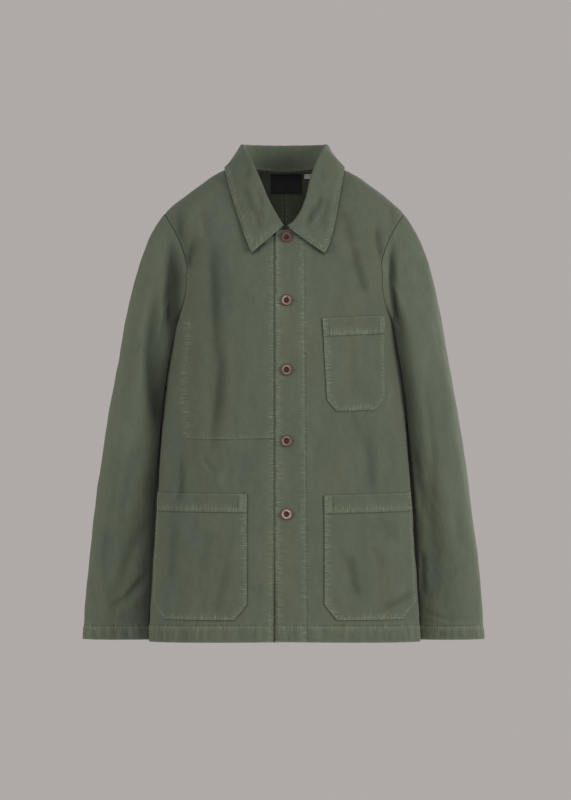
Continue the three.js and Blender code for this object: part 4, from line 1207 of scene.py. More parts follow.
def where_reaches(surface, field, value, by_row=True, keep=None):
    """Where a field that grows along each row, or column, reaches a value: points and normals."""
    points = surface.shape()
    normals = surface.true_normal
    if not by_row:
        field = field.T
        points = points.transpose(1, 0, 2)
        normals = normals.transpose(1, 0, 2)
    if field[len(field) // 2, 0] > field[len(field) // 2, -1]:
        field = field[:, ::-1]
        points = points[:, ::-1]
        normals = normals[:, ::-1]
    line = np.arange(len(field))
    if keep is not None:
        line = line[keep]
    j = np.clip((field[line] < value).sum(axis=1), 1, field.shape[1] - 1)
    before = field[line, j - 1]
    t = np.clip((value - before) / np.maximum(field[line, j] - before, 1e-6), 0, 1)[:, None]
    p = points[line, j - 1] * (1 - t) + points[line, j] * t
    n = unit(normals[line, j - 1] * (1 - t) + normals[line, j] * t)
    return p, n


def on_surface(surface, x, z):
    """The nearest places of a front-view line on a surface: points and normals."""
    points = surface.shape()
    flat = points.reshape(-1, 3)
    normals = surface.true_normal.reshape(-1, 3)
    found = []
    for px, pz in zip(np.atleast_1d(x), np.atleast_1d(z)):
        k = np.argmin((flat[:, 0] - px) ** 2 + (flat[:, 2] - pz) ** 2)
        n = normals[k]
        y = flat[k, 1] - ((px - flat[k, 0]) * n[0] + (pz - flat[k, 2]) * n[2]) / n[1]
        found.append((px, y, pz, *n))
    found = np.array(found)
    return found[:, :3], found[:, 3:]


def resample(points, normals, spacing):
    steps = np.linalg.norm(np.diff(points, axis=0), axis=-1)
    gone = np.concatenate([[0], np.cumsum(steps)])
    at = np.arange(spacing, gone[-1] - spacing * 0.5, spacing)
    p = np.stack([np.interp(at, gone, points[:, k]) for k in range(3)], axis=-1)
    n = np.stack([np.interp(at, gone, normals[:, k]) for k in range(3)], axis=-1)
    return p, unit(n)


class Threads:
    """Collects the threads of one piece into one mesh."""

    def __init__(self, seed=7):
        self.points = []
        self.triangles = []
        self.count = 0
        self.rng = np.random.default_rng(seed)

    def bars(self, middle, way, out, length, width, height, sink=0.3):
        """Small tapered bars lying on the cloth."""
        way = unit(way - out * np.sum(way * out, axis=-1, keepdims=True))
        side = np.cross(out, way)
        corners = []
        for level, long_share, wide_share in ((-sink, 1.0, 1.0), (height, 0.72, 0.6)):
            for a, b in ((-1, -1), (1, -1), (1, 1), (-1, 1)):
                corners.append(
                    middle
                    + way * (a * length * long_share / 2)
                    + side * (b * width * wide_share / 2)
                    + out * level
                )
        block = np.stack(corners, axis=1)
        box = np.array(
            [
                (0, 2, 1), (0, 3, 2), (4, 5, 6), (4, 6, 7), (0, 1, 5), (0, 5, 4),
                (1, 2, 6), (1, 6, 5), (2, 3, 7), (2, 7, 6), (3, 0, 4), (3, 4, 7),
            ]
        )
        base = self.count + 8 * np.arange(len(middle))[:, None, None]
        self.points.append(block.reshape(-1, 3))
        self.triangles.append((box[None] + base).reshape(-1, 3))
        self.count += 8 * len(middle)

    def run(self, line, spacing=3.3, length=2.5, width=0.65, height=0.28):
        p, n = resample(line[0], line[1], spacing)
        if len(p) < 3:
            return
        way = np.gradient(p, axis=0)
        p = p + unit(np.cross(n, way)) * self.rng.normal(0, 0.12, (len(p), 1))
        self.bars(p, way, n, length, width, height)

    def piece(self, name, material, slot):
        piece = make_piece(name, np.concatenate(self.points), np.concatenate(self.triangles), sharp=40)
        return dress(piece, material, slot)


# Materials


def node(tree, kind, **values):
    made = tree.nodes.new(kind)
    for name, value in values.items():
        setattr(made, name, value)
    return made


def attribute_node(tree, name):
    return node(tree, "ShaderNodeAttribute", attribute_name=name)


def scaled(tree, vector, scale):
    made = node(tree, "ShaderNodeVectorMath", operation="MULTIPLY")
    made.inputs[1].default_value = scale
    tree.links.new(vector, made.inputs[0])
    return made.outputs[0]


def noise(tree, vector, scale, detail, roughness=0.55):
    made = node(tree, "ShaderNodeTexNoise")
    made.inputs["Scale"].default_value = scale
    made.inputs["Detail"].default_value = detail
    made.inputs["Roughness"].default_value = roughness
    tree.links.new(vector, made.inputs["Vector"])
    return made.outputs["Fac"]


def sums(tree, operation, a, b):
    made = node(tree, "ShaderNodeMath", operation=operation)
    for socket, value in zip(made.inputs, (a, b)):
        if isinstance(value, (int, float)):
            socket.default_value = value
        else:
            tree.links.new(value, socket)
    return made.outputs[0]


def ranged(tree, value, low, high, to_low, to_high):
    made = node(tree, "ShaderNodeMapRange")
    tree.links.new(value, made.inputs["Value"])
    for name, number in (
        ("From Min", low), ("From Max", high), ("To Min", to_low), ("To Max", to_high),
    ):
        made.inputs[name].default_value = number
    return made.outputs["Result"]


def colour_mix(tree, factor, a, b):
    made = node(tree, "ShaderNodeMix", data_type="RGBA")
    for socket, value in ((made.inputs[0], factor), (made.inputs[6], a), (made.inputs[7], b)):
        if isinstance(value, (int, float)):
            socket.default_value = value
        elif isinstance(value, bpy.types.NodeSocket):
            tree.links.new(value, socket)
        else:
            socket.default_value = (*value[:3], 1.0)
    return made.outputs[2]


def start_material(name):
    material = bpy.data.materials.new(name)
    material.use_nodes = True
    return material, material.node_tree, material.node_tree.nodes["Principled BSDF"]


def drawn_up(tree):
    """Fine ridges across each stitch line, and how strong they are: they fade from the thread."""
    field = attribute_node(tree, "stitch").outputs["Vector"]
    parts = node(tree, "ShaderNodeSeparateXYZ")
    tree.links.new(field, parts.inputs[0])
    along, away, strength = parts.outputs
    drift = noise(tree, scaled(tree, field, (60, 25, 0)), 1.0, 1.0)
    turns = sums(tree, "MULTIPLY", along, 2 * math.pi / STITCH)
    regular = sums(tree, "SINE", sums(tree, "ADD", turns, sums(tree, "MULTIPLY", drift, 26.0)), 0)
    uneven_ridges = noise(tree, scaled(tree, field, (400, 45, 0)), 1.0, 1.0)
    uneven_ridges = ranged(tree, uneven_ridges, 0.32, 0.68, -1.0, 1.0)
    ridges = sums(tree, "ADD", sums(tree, "MULTIPLY", regular, 0.4), uneven_ridges)
    near = ranged(tree, sums(tree, "ABSOLUTE", away, 0), 0.0014, 0.0074, 1.0, 0.0)
    return ridges, sums(tree, "MULTIPLY", near, strength)


def canvas_material(name, look, painted_light_lift=1.0):
    """Dyed cotton canvas: slubs along the threads, uneven dye, lighter where it is rubbed, and darker
    with painted shade in creases, beside edges and in the valleys of the fine ridges at seams.
    """
    material, tree, shader = start_material(name)
    weave = attribute_node(tree, "weave").outputs["Vector"]
    place = node(tree, "ShaderNodeTexCoord").outputs["Object"]
    warp = noise(tree, scaled(tree, weave, (1400, 90, 1)), 1.0, 2.0)
    weft = noise(tree, scaled(tree, weave, (90, 1400, 1)), 1.0, 2.0)
    threads = sums(tree, "ADD", sums(tree, "MULTIPLY", warp, 0.6), sums(tree, "MULTIPLY", weft, 0.4))
    hue = noise(tree, scaled(tree, place, (17, 17, 6)), 1.0, 3.0, 0.6)
    dye = colour_mix(tree, ranged(tree, hue, 0.36, 0.64, 0.0, 1.0), look.cool_colour, look.warm_colour)
    streak = noise(tree, scaled(tree, place, (30, 30, 9)), 1.0, 3.0, 0.6)
    slub = noise(tree, scaled(tree, weave, (520, 60, 1)), 1.0, 2.0)
    pick = noise(tree, scaled(tree, weave, (70, 480, 1)), 1.0, 2.0)
    slub = sums(tree, "ADD", sums(tree, "MULTIPLY", slub, 0.5), sums(tree, "MULTIPLY", pick, 0.5))
    blotch = noise(tree, scaled(tree, place, (70, 70, 28)), 1.0, 3.0, 0.65)
    # Brightens a whole copy of the canvas: for the sleeves this is painted light, making up for the light
    # they get.
    tone = ranged(tree, threads, 0.3, 0.7, 0.9 * painted_light_lift, 1.1 * painted_light_lift)
    for field, reach in ((streak, 0.05), (blotch, 0.06), (slub, 0.07)):
        tone = sums(tree, "MULTIPLY", tone, ranged(tree, field, 0.3, 0.7, 1 - reach, 1 + reach))
    ridges, drawn = drawn_up(tree)
    pull = sums(tree, "MULTIPLY", ridges, drawn)
    # Painted shade darkens the valleys of the fine ridges by the seams and painted light brightens their
    # crests.
    tone = sums(tree, "MULTIPLY", tone, ranged(tree, pull, -1.2, 1.2, 0.78, 1.18))
    wear = attribute_node(tree, "wear").outputs["Fac"]
    rubbed = sums(tree, "ADD", wear, sums(tree, "MULTIPLY", sums(tree, "MAXIMUM", pull, 0), 0.5))
    scuffed = sums(tree, "MULTIPLY", rubbed, ranged(tree, threads, 0.35, 0.65, 0.55, 1.1))
    amount = ranged(tree, scuffed, 0.0, 1.0, 0.0, look.wear_strength)
    base = colour_mix(tree, amount, dye, look.worn_colour)
    # Painted shade: below nought the field darkens the cloth toward the shade colour.
    base = colour_mix(tree, ranged(tree, wear, -1.0, 0.0, 0.92, 0.0), base, look.painted_shade_colour)
    made = node(tree, "ShaderNodeVectorMath", operation="SCALE")
    tree.links.new(base, made.inputs[0])
    tree.links.new(tone, made.inputs["Scale"])
    tree.links.new(made.outputs[0], shader.inputs["Base Color"])
    last = None
    for height, distance, strength in ((blotch, 0.004, 0.35), (threads, 0.0005, 0.3), (pull, 0.0003, 0.7)):
        bump = node(tree, "ShaderNodeBump")
        bump.inputs["Strength"].default_value = strength
        bump.inputs["Distance"].default_value = distance
        tree.links.new(height, bump.inputs["Height"])
        if last:
            tree.links.new(last.outputs["Normal"], bump.inputs["Normal"])
        last = bump
    tree.links.new(last.outputs["Normal"], shader.inputs["Normal"])
    shader.inputs["Roughness"].default_value = 0.94
    shader.inputs["Specular IOR Level"].default_value = 0.18
    shader.inputs["Sheen Weight"].default_value = look.sheen
    shader.inputs["Sheen Roughness"].default_value = 0.6
    shader.inputs["Sheen Tint"].default_value = (0.75, 0.8, 0.66, 1)
    return material


def plain_material(name, colour, roughness, specular=0.3, variation=0.08, scale=120.0):
    material, tree, shader = start_material(name)
    place = node(tree, "ShaderNodeTexCoord").outputs["Object"]
    tone = ranged(tree, noise(tree, place, scale, 3.0), 0.3, 0.7, 1 - variation, 1 + variation)
    made = node(tree, "ShaderNodeVectorMath", operation="SCALE")
    made.inputs[0].default_value = colour[:3]
    tree.links.new(tone, made.inputs["Scale"])
    tree.links.new(made.outputs[0], shader.inputs["Base Color"])
    shader.inputs["Roughness"].default_value = roughness
    shader.inputs["Specular IOR Level"].default_value = specular
    return material


def button_material(colour, rim, dish):
    """Moulded button: wear is 0 on the body, 1 on the rubbed rim; weave.x is 1 in the dish."""
    material, tree, shader = start_material("button")
    wear = attribute_node(tree, "wear").outputs["Fac"]
    weave = node(tree, "ShaderNodeSeparateXYZ")
    tree.links.new(attribute_node(tree, "weave").outputs["Vector"], weave.inputs[0])
    place = node(tree, "ShaderNodeTexCoord").outputs["Object"]
    mottled = ranged(tree, noise(tree, place, 260.0, 3.0), 0.35, 0.65, 0.0, 1.0)
    amount = sums(tree, "MULTIPLY", wear, ranged(tree, mottled, 0, 1, 0.25, 1.0))
    base = colour_mix(tree, amount, colour, rim)
    # The dish colour also fills the holes, painted shade in the pits.
    base = colour_mix(tree, weave.outputs[0], base, dish)
    tree.links.new(base, shader.inputs["Base Color"])
    shader.inputs["Roughness"].default_value = 0.5
    shader.inputs["Specular IOR Level"].default_value = 0.22
    return material


# Settings


def colour_property(name, description, default):
    return bpy.props.FloatVectorProperty(
        name=name, description=description, subtype="COLOR", size=3, min=0, max=1, default=default
    )


def length_property(name, description, default, low, high):
    return bpy.props.FloatProperty(
        name=name, description=description, default=default, min=low, max=high,
        subtype="DISTANCE", unit="LENGTH", precision=4,
    )


def share_property(name, description, default, high=1.0):
    return bpy.props.FloatProperty(
        name=name, description=description, default=default, min=0, max=high, subtype="FACTOR"
    )


class ClothSettings(bpy.types.PropertyGroup):
    """The canvas and how it is sewn."""

    cool_colour: colour_property("Cool dye", "Canvas where the dye is bluer", (0.0705, 0.087, 0.0625))
    warm_colour: colour_property("Warm dye", "Canvas where the dye is browner", (0.0755, 0.0878, 0.0605))
    # Painted shade: the colour that creases, seams and edge lines are darkened toward.
    painted_shade_colour: colour_property("Painted shade", "Canvas in creases and edges", (0.016, 0.021, 0.014))
    worn_colour: colour_property("Worn colour", "Canvas where it is rubbed", (0.175, 0.21, 0.15))
    thread_colour: colour_property("Thread", "Topstitching thread", (0.17, 0.2, 0.145))
    wear_strength: share_property("Wear", "How far rubbed cloth lightens", 0.6)
    fold_strength: share_property("Folds", "How deep the finer folds are", 1.7, 3.0)
    sheen: share_property("Sheen", "Soft fibre sheen", 0.12)
    wall: length_property("Cloth", "Thickness of the cloth wall", 0.0012, 0.001, 0.003)
    pucker_height: length_property("Puckers", "Height of seam puckers", 0.00045, 0.0, 0.002)


class ButtonSettings(bpy.types.PropertyGroup):
    """The five buttons."""

    radius: length_property("Radius", "Radius of a button", 0.009, 0.005, 0.015)
    height: length_property("Height", "Height of a button", 0.0032, 0.002, 0.006)
    colour: colour_property("Colour", "Button body", (0.066, 0.026, 0.021))
    rim_colour: colour_property("Rim", "Rubbed ring of a button", (0.42, 0.31, 0.27))
    dish_colour: colour_property("Dish", "Sunk middle of a button", (0.018, 0.01, 0.009))


class StageSettings(bpy.types.PropertyGroup):
    """Floor, light, background and camera."""

    floor_colour: colour_property("Floor", "Plain pale floor", (0.5, 0.47, 0.46))
    air_colour: colour_property("Background", "Light all round", (0.43, 0.4, 0.39))
    left_power: bpy.props.FloatProperty(
        name="Left light", description="Power of the soft light at the left", default=112, min=0,
        unit="POWER",
    )
    right_power: bpy.props.FloatProperty(
        name="Right light", description="Power of the soft light at the right", default=186, min=0,
        unit="POWER",
    )
    front_power: bpy.props.FloatProperty(
        name="Front light", description="Power of the soft light by the camera", default=84, min=0,
        unit="POWER",
    )
    back_power: bpy.props.FloatProperty(
        name="Back light", description="Power of the soft light behind", default=150, min=0,
        unit="POWER",
    )
    distance: length_property("Camera distance", "From the camera to the chest", 8.0, 2.0, 20.0)


# Operators


class JACKET_OT_body(bpy.types.Operator):
    """Build the two fronts and the two backs"""

    bl_idname = "jacket.body"
    bl_label = "Fronts and backs"

    def execute(self, context):
        look = context.scene.jacket_cloth
        cloth = canvas_material("canvas", look)
        thread = plain_material("thread", look.thread_colour, 0.8)
        for name, side in (("front_left", 1), ("front_right", -1)):
            surface = front_surface(side, look)
            build_panel(name, surface, cloth, thread, look, side, True)
        for name, side in (("back_left", 1), ("back_right", -1)):
            surface = back_surface(side, look)
            build_panel(name, surface, cloth, thread, look, side, False)
        return {"FINISHED"}


def build_panel(name, surface, cloth, thread, look, side, is_front):
    """One body panel with its stitching, and the size of its cut worked out."""
    face_outwards(surface)
    folded = 1.0 * (1 - ease((surface.from_first - 24) / 4))
    edge_flare = (0, 0, FLARE, 0) if is_front and side > 0 else (0, 0, 0, 0)
    piece = cloth_piece(name, surface, look.wall * 1000 + folded, cloth, "cloth", flare=edge_flare)
    threads = Threads(3 + side)
    threads.run(where_reaches(surface, surface.from_first, HEM_STITCH, by_row=False))
    if is_front and side > 0:
        low = surface.q < 1 + NECK_ROW[-1] - 0.02
        threads.run(where_reaches(surface, surface.from_start, FRONT_EDGE_STITCH, keep=low))
        z = np.linspace(-737, -150, 260)
        threads.run(on_surface(surface, placket_line(z), z))
    elif is_front:
        z = np.linspace(-737, -110, 280)
        threads.run(on_surface(surface, -under_line(z), z))
        threads.run(on_surface(surface, -under_line(z) + 3.2, z))
        x, z = np.array(INNER_POCKET_FOOT, float).T
        at = np.linspace(0, 2, 90)
        threads.run(on_surface(surface, np.interp(at, range(3), x), np.interp(at, range(3), z)))
    else:
        low = surface.q < 1 + NECK_ROW[1] - 0.02
        threads.run(where_reaches(surface, surface.from_start, BACK_SEAM_STITCH, keep=low))
        inside, out = where_reaches(surface, surface.from_start, 3.0, keep=low)
        threads.run((inside - out * (look.wall * 1000 + 0.1), -out), width=0.8)
    seams = threads.piece(name + "_stitches", thread, "cloth")
    width, length, area = cut_size(surface)


class JACKET_OT_sleeves(bpy.types.Operator):
    """Build the two sleeves"""

    bl_idname = "jacket.sleeves"
    bl_label = "Sleeves"

    def execute(self, context):
        look = context.scene.jacket_cloth
        # The sleeves' canvas is a lighter copy of the same canvas: painted light.
        cloth = canvas_material("sleeve_canvas", look, 1.15)
        thread = plain_material("sleeve_thread", look.thread_colour, 0.8)
        for name, arm in (("sleeve_left", 1), ("sleeve_right", -1)):
            surface = sleeve_surface(arm, look)
            face_outwards(surface, True)
            folded = 1.0 * (1 - ease((surface.from_last - 20) / 4))
            piece = cloth_piece(name, surface, look.wall * 1000 + folded, cloth, "cloth", True)
            threads = Threads(11 + arm)
            threads.run(where_reaches(surface, surface.from_last, CUFF_STITCH, by_row=False))
            seams = threads.piece(name + "_stitches", thread, "cloth")
            width, length, area = cut_size(surface, True)
        return {"FINISHED"}


class JACKET_OT_collar(bpy.types.Operator):
    """Build the collar, stand and fall in one"""

    bl_idname = "jacket.collar"
    bl_label = "Collar"

    def execute(self, context):
        look = context.scene.jacket_cloth
        cloth = canvas_material("collar_canvas", look)
        thread = plain_material("collar_thread", look.thread_colour, 0.8)
        surface = collar_surface(look)
        face_outwards(surface)
        flare = (FLARE, FLARE, 0, FLARE)
        piece = cloth_piece("collar", surface, COLLAR_CLOTH, cloth, "collar_cloth", flare=flare)
        threads = Threads(21)
        inner = np.minimum(surface.from_first, surface.from_last)[:, -12] > COLLAR_STITCH
        threads.run(where_reaches(surface, surface.from_end, COLLAR_STITCH, keep=inner))
        columns = (surface.from_end[0] > COLLAR_STITCH) & (surface.from_start[0] > 46)
        for end in (surface.from_first, surface.from_last):
            threads.run(where_reaches(surface, end, COLLAR_STITCH, by_row=False, keep=columns))
        threads.run(where_reaches(surface, surface.from_start, STAND_STITCH))
        seams = threads.piece("collar_stitches", thread, "collar_cloth")
        width, length, area = cut_size(surface)
        return {"FINISHED"}


class JACKET_OT_pockets(bpy.types.Operator):
    """Build the three patch pockets"""

    bl_idname = "jacket.pockets"
    bl_label = "Pockets"

    def execute(self, context):
        look = context.scene.jacket_cloth
        cloth = canvas_material("pocket_canvas", look)
        thread = plain_material("pocket_thread", look.thread_colour, 0.8)
        for name, pocket in POCKETS.items():
            surface = pocket_surface(name, look)
            face_outwards(surface)
            banded = 0.5 * (1 - ease((surface.from_first - surface.band_height) / 2))
            wall = look.wall * 1000 + 0.6 + banded
            flare = (FLARE, FLARE, FLARE, FLARE)
            piece = cloth_piece(name, surface, wall, cloth, "pocket_cloth", flare=flare)
            threads = Threads(31)
            low = surface.from_last[:, 10] > 3.0
            threads.run(where_reaches(surface, surface.from_start, POCKET_STITCH, keep=low))
            threads.run(where_reaches(surface, surface.from_end, POCKET_STITCH, keep=low))
            threads.run(where_reaches(surface, surface.from_last, POCKET_STITCH, by_row=False))
            band = surface.band_height - POCKET_BAND_STITCH
            threads.run(where_reaches(surface, surface.from_first, band, by_row=False))
            mouth = surface.from_first[:, 10] < surface.band_height
            for place in (POCKET_STITCH, 8.5):
                threads.run(where_reaches(surface, surface.inner, place, keep=mouth))
            seams = threads.piece(name + "_stitches", thread, "pocket_cloth")
            width, length, area = cut_size(surface)
        return {"FINISHED"}


def button_mesh(name, seat, normal, size, spin, worn):
    """A turned button with a rim, a dish and four sunk holes."""
    radius = size.radius * 1000
    height = size.height * 1000
    outline = (
        (0, 0.5), (0.2, 0.5), (0.34, 0.52), (0.42, 0.64), (0.49, 0.82), (0.57, 0.92), (0.7, 1.0),
        (0.84, 0.98), (0.95, 0.84), (1.0, 0.62), (0.99, 0.4), (0.94, 0.15), (0.84, 0.0), (0.0, 0.0),
    )
    shares = np.array(outline)
    steps = np.linalg.norm(np.diff(shares, axis=0), axis=1)
    gone = np.concatenate([[0], np.cumsum(steps)])
    at = np.linspace(0, gone[-1], 74)
    r = np.interp(at, gone, shares[:, 0]) * radius
    h = np.interp(at, gone, shares[:, 1]) * height
    top = at < gone[np.argmax(shares[:, 0])]
    turn = np.linspace(0, 2 * math.pi, 72, endpoint=False)
    x = r[:, None] * np.cos(turn)
    y = r[:, None] * np.sin(turn)
    z = np.broadcast_to(h[:, None], x.shape).copy()
    sunk = np.zeros_like(z)
    hole_place = 1.9
    hole_radius = 0.75
    hole_depth = 1.2
    for quarter in range(4):
        a = spin + math.pi / 4 + quarter * math.pi / 2
        away = np.hypot(x - hole_place * math.cos(a), y - hole_place * math.sin(a))
        sunk = np.maximum(sunk, 1 - ease((away - hole_radius) / 0.5))
    z -= sunk * hole_depth * top[:, None]
    n = normal / np.linalg.norm(normal)
    side = np.cross((0, 0, 1.0), n)
    side /= np.linalg.norm(side)
    up = np.cross(n, side)
    points = seat + x[..., None] * side + y[..., None] * up + z[..., None] * n
    rows, columns = points.shape[:2]
    grid = np.arange(rows * columns).reshape(rows, columns)
    grid = np.concatenate([grid, grid[:, :1]], axis=1)[1:-1]
    a, b, c, d = grid[:-1, :-1], grid[:-1, 1:], grid[1:, 1:], grid[1:, :-1]
    faces = [np.stack([a, d, c], axis=-1).reshape(-1, 3), np.stack([a, c, b], axis=-1).reshape(-1, 3)]
    first, last = grid[0], grid[-1]
    faces.append(np.stack([np.full(columns, 0), first[:-1], first[1:]], axis=-1))
    faces.append(np.stack([np.full(columns, (rows - 1) * columns), last[1:], last[:-1]], axis=-1))
    share = np.broadcast_to((r / radius)[:, None], z.shape)
    rim = np.exp(-(((share - 0.67) / 0.17) ** 4)) * top[:, None] * worn
    dish = (1 - ease((share - 0.36) / 0.12)) * top[:, None]
    # The holes take the dish colour in full: painted shade standing in for the dark of open holes.
    weave = stack(np.clip(dish * 0.85 + sunk, 0, 1), sunk, np.zeros_like(z))
    used = np.zeros(rows * columns, dtype=bool)
    triangles = np.concatenate(faces)
    used[triangles] = True
    new = np.cumsum(used) - 1
    keep = used.nonzero()[0]
    return make_piece(
        name, points.reshape(-1, 3)[keep], new[triangles], rim.ravel()[keep],
        {"weave": weave.reshape(-1, 3)[keep]}, sharp=70,
    )


class JACKET_OT_buttons(bpy.types.Operator):
    """Build the buttons, their threads and the buttonholes"""

    bl_idname = "jacket.buttons"
    bl_label = "Buttons"

    def execute(self, context):
        scene = context.scene
        size = scene.jacket_button
        look = scene.jacket_cloth
        body = button_material(size.colour, size.rim_colour, size.dish_colour)
        sewing = plain_material("button_thread", (0.1, 0.075, 0.065), 0.6)
        worked = plain_material("buttonhole_thread", (0.12, 0.145, 0.1), 0.8)
        # The slit strip is near-black: painted shade standing in for the shadow inside the slit.
        dark = plain_material("slit", (0.015, 0.017, 0.012), 0.9)
        surface = front_surface(1, look)
        face_outwards(surface)
        for i, z in enumerate(BUTTON_HEIGHTS):
            centre, _ = on_surface(surface, BUTTON_X, z)
            _, turn_normal = torso(-1.0, turn_at(BUTTON_X, z), np.array(z, float))
            seat = centre[0] + turn_normal * 0.5
            name = f"button_{i + 1}"
            spin = BUTTON_SPINS[i]
            turned = button_mesh(name + "_turned", seat, turn_normal, size, spin, BUTTON_WEAR[i])
            piece = dress(turned, body, "button")
            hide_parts(name)
            threads = Threads(i)
            out = np.broadcast_to(turn_normal, (2, 3))
            across = np.array([(math.cos(spin), 0, math.sin(spin)), (-math.sin(spin), 0, math.cos(spin))])
            middle = seat + turn_normal * size.height * 1000 * 0.5
            threads.bars(np.stack([middle, middle]), across, out, 3.6, 0.7, 0.5, 0.1)
            threads.bars(seat[None] - turn_normal * 0.2, across[:1], out[:1], 3.4, 3.4, 0.7, 1.4)
            threads.piece(name + "_thread", sewing, "button")
            self.buttonhole(surface, z, i, worked, dark)
        return {"FINISHED"}

    def buttonhole(self, surface, z, i, worked, dark):
        """Satin stitches round a slit that runs from the button towards the wearer's left."""
        x0, x1 = BUTTON_X + 8, 23.0
        x = np.arange(x0, x1, 0.75)
        threads = Threads(40 + i)
        for sign in (-1, 1):
            p, n = on_surface(surface, x, np.full_like(x, z + sign * 1.15))
            way = np.broadcast_to((0.12, 0, sign * 1.0), p.shape)
            threads.bars(p, way, n, 1.7, 0.6, 0.42)
        angle = np.linspace(-1.3, 1.3, 7)
        p, n = on_surface(surface, x1 + 0.9 * np.cos(angle), z + 1.15 * np.sin(angle))
        way = np.stack([np.cos(angle), np.zeros(7), np.sin(angle)], axis=-1)
        threads.bars(p, way, n, 1.6, 0.6, 0.42)
        threads.piece(f"buttonhole_{i + 1}", worked, "cloth")
        slit = Threads(50 + i)
        p, n = on_surface(surface, np.linspace(x0, x0 + 3.6, 4), np.full(4, float(z)))
        way = np.broadcast_to((1.0, 0, 0), p.shape)
        slit.bars(p, way, n, 2.0, 1.3, 0.3)
        slit.piece(f"buttonhole_{i + 1}_slit", dark, "cloth")


class JACKET_OT_labels(bpy.types.Operator):
    """Build the bare neck label and the size tab"""

    bl_idname = "jacket.labels"
    bl_label = "Labels"

    def execute(self, context):
        black = plain_material("label", (0.026, 0.025, 0.027), 0.8, 0.2, 0.15, 900)
        white = plain_material("tab", (0.88, 0.87, 0.85), 0.8, 0.2, 0.05, 900)
        made = {}
        for name, box, material, slot, lean in (
            ("neck_label", NECK_LABEL, black, "label", 2.2),
            ("size_tab", SIZE_TAB, white, "tab", 0.6),
        ):
            rows = np.linspace(0, 1, 21)
            columns = np.linspace(0, 1, 31)
            grid = (len(rows), len(columns))
            x = np.broadcast_to(mix(box["left"], box["right"], columns)[None], grid)
            z = np.broadcast_to(mix(box["top"], box["bottom"], rows)[:, None], grid)
            point, normal = torso(np.full(x.shape, 1.0), turn_at(x, z), z)
            point = point + normal * ripple(point)[..., None]
            away = CLOTH + 0.55 + lean * rows[:, None] ** 1.5
            away = away + 0.25 * waves(point, 61, 6, 14, 30, 1.0)
            surface = Surface(point - normal * (away + box["thickness"])[..., None], -normal)
            piece = cloth_piece(name, surface, box["thickness"], material, slot)
            made[name] = (piece, cut_size(surface))
        piece, (width, length, area) = made["neck_label"]
        return {"FINISHED"}


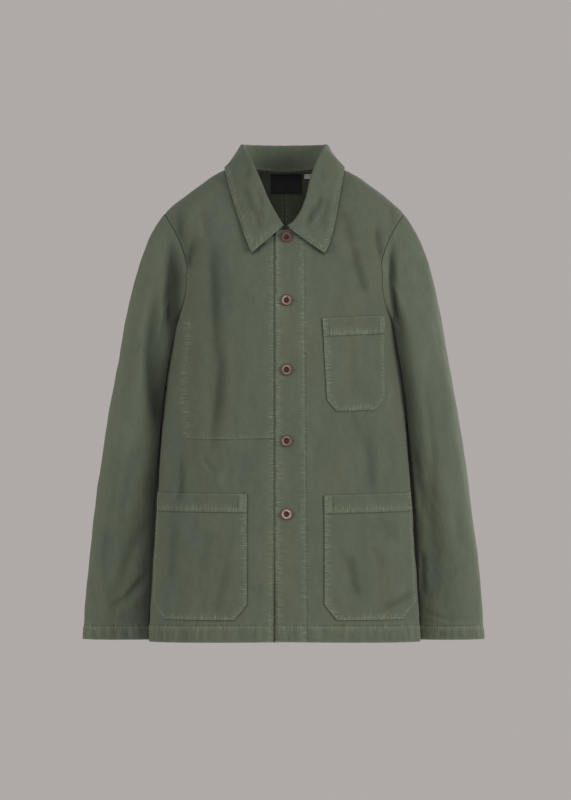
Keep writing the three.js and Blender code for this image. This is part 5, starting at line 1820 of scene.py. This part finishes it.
class JACKET_OT_stage(bpy.types.Operator):
    """Build the floor, the light, the background and the camera"""

    bl_idname = "jacket.stage"
    bl_label = "Stage"

    def execute(self, context):
        scene = context.scene
        stage = scene.jacket_stage
        sides = 64
        radius = 1500
        floor_z = -1200.0
        turn = np.linspace(0, 2 * math.pi, sides, endpoint=False)
        rim = stack(radius * np.cos(turn), radius * np.sin(turn), floor_z)
        points = np.concatenate([[[0, 0, floor_z]], rim])
        k = np.arange(sides)
        triangles = np.stack([np.zeros(sides, dtype=int), 1 + k, 1 + (k + 1) % sides], axis=-1)
        floor = make_piece("floor", points, triangles)
        floor.data.materials.append(plain_material("floor", stage.floor_colour, 0.9, 0.1, 0.01, 2.0))
        world = bpy.data.worlds.new("air")
        scene.world = world
        world.use_nodes = True
        air = world.node_tree.nodes["Background"]
        air.inputs["Color"].default_value = (*stage.air_colour, 1)
        air.inputs["Strength"].default_value = 1.0
        for name, place, size, power in (
            ("left_light", (-4.1, -2.9, 0.5), 2.4, stage.left_power),
            ("right_light", (4.1, -2.9, 0.5), 2.4, stage.right_power),
            ("front_light", (0.0, -6.4, 0.6), 1.6, stage.front_power),
            ("back_light", (3.4, 4.4, 0.7), 2.4, stage.back_power),
        ):
            lamp = bpy.data.lights.new(name, "AREA")
            lamp.shape = "DISK"
            lamp.size = size
            lamp.energy = power
            lamp_object = bpy.data.objects.new(name, lamp)
            lamp_object.location = place
            aim = Vector((0, 0, -0.35)) - Vector(place)
            lamp_object.rotation_euler = aim.to_track_quat("-Z", "Y").to_euler()
            scene.collection.objects.link(lamp_object)
        camera_data = bpy.data.cameras.new("camera")
        camera_data.sensor_width = 36
        camera_data.lens = camera_data.sensor_width * stage.distance / PICTURE_HEIGHT
        camera_data.clip_end = 40
        camera = bpy.data.objects.new("camera", camera_data)
        camera.location = (0.0016, -0.06 - stage.distance, -0.361)
        camera.rotation_euler = (math.pi / 2, 0, 0)
        scene.collection.objects.link(camera)
        scene.camera = camera
        scene.view_settings.view_transform = "Standard"
        return {"FINISHED"}


BUILDERS = (
    JACKET_OT_body,
    JACKET_OT_sleeves,
    JACKET_OT_collar,
    JACKET_OT_pockets,
    JACKET_OT_buttons,
    JACKET_OT_labels,
    JACKET_OT_stage,
)


class JACKET_PT_panel(bpy.types.Panel):
    """Lists the jacket's settings and builders"""

    bl_idname = "JACKET_PT_panel"
    bl_label = "Chore jacket"
    bl_space_type = "VIEW_3D"
    bl_region_type = "UI"
    bl_category = "Jacket"

    def draw(self, context):
        scene = context.scene
        for group in (scene.jacket_cloth, scene.jacket_button, scene.jacket_stage):
            box = self.layout.box()
            for name in group.__annotations__:
                box.prop(group, name)
        for builder in BUILDERS:
            self.layout.operator(builder.bl_idname)


CLASSES = (ClothSettings, ButtonSettings, StageSettings, *BUILDERS, JACKET_PT_panel)


def register():
    for one in CLASSES:
        bpy.utils.register_class(one)
    bpy.types.Scene.jacket_cloth = bpy.props.PointerProperty(type=ClothSettings)
    bpy.types.Scene.jacket_button = bpy.props.PointerProperty(type=ButtonSettings)
    bpy.types.Scene.jacket_stage = bpy.props.PointerProperty(type=StageSettings)


def unregister():
    del bpy.types.Scene.jacket_cloth
    del bpy.types.Scene.jacket_button
    del bpy.types.Scene.jacket_stage
    for one in reversed(CLASSES):
        bpy.utils.unregister_class(one)


def main():
    register()
    bpy.ops.jacket.body()
    bpy.ops.jacket.sleeves()
    bpy.ops.jacket.collar()
    bpy.ops.jacket.pockets()
    bpy.ops.jacket.buttons()
    bpy.ops.jacket.labels()
    bpy.ops.jacket.stage()


if __name__ == "__main__":
    main()
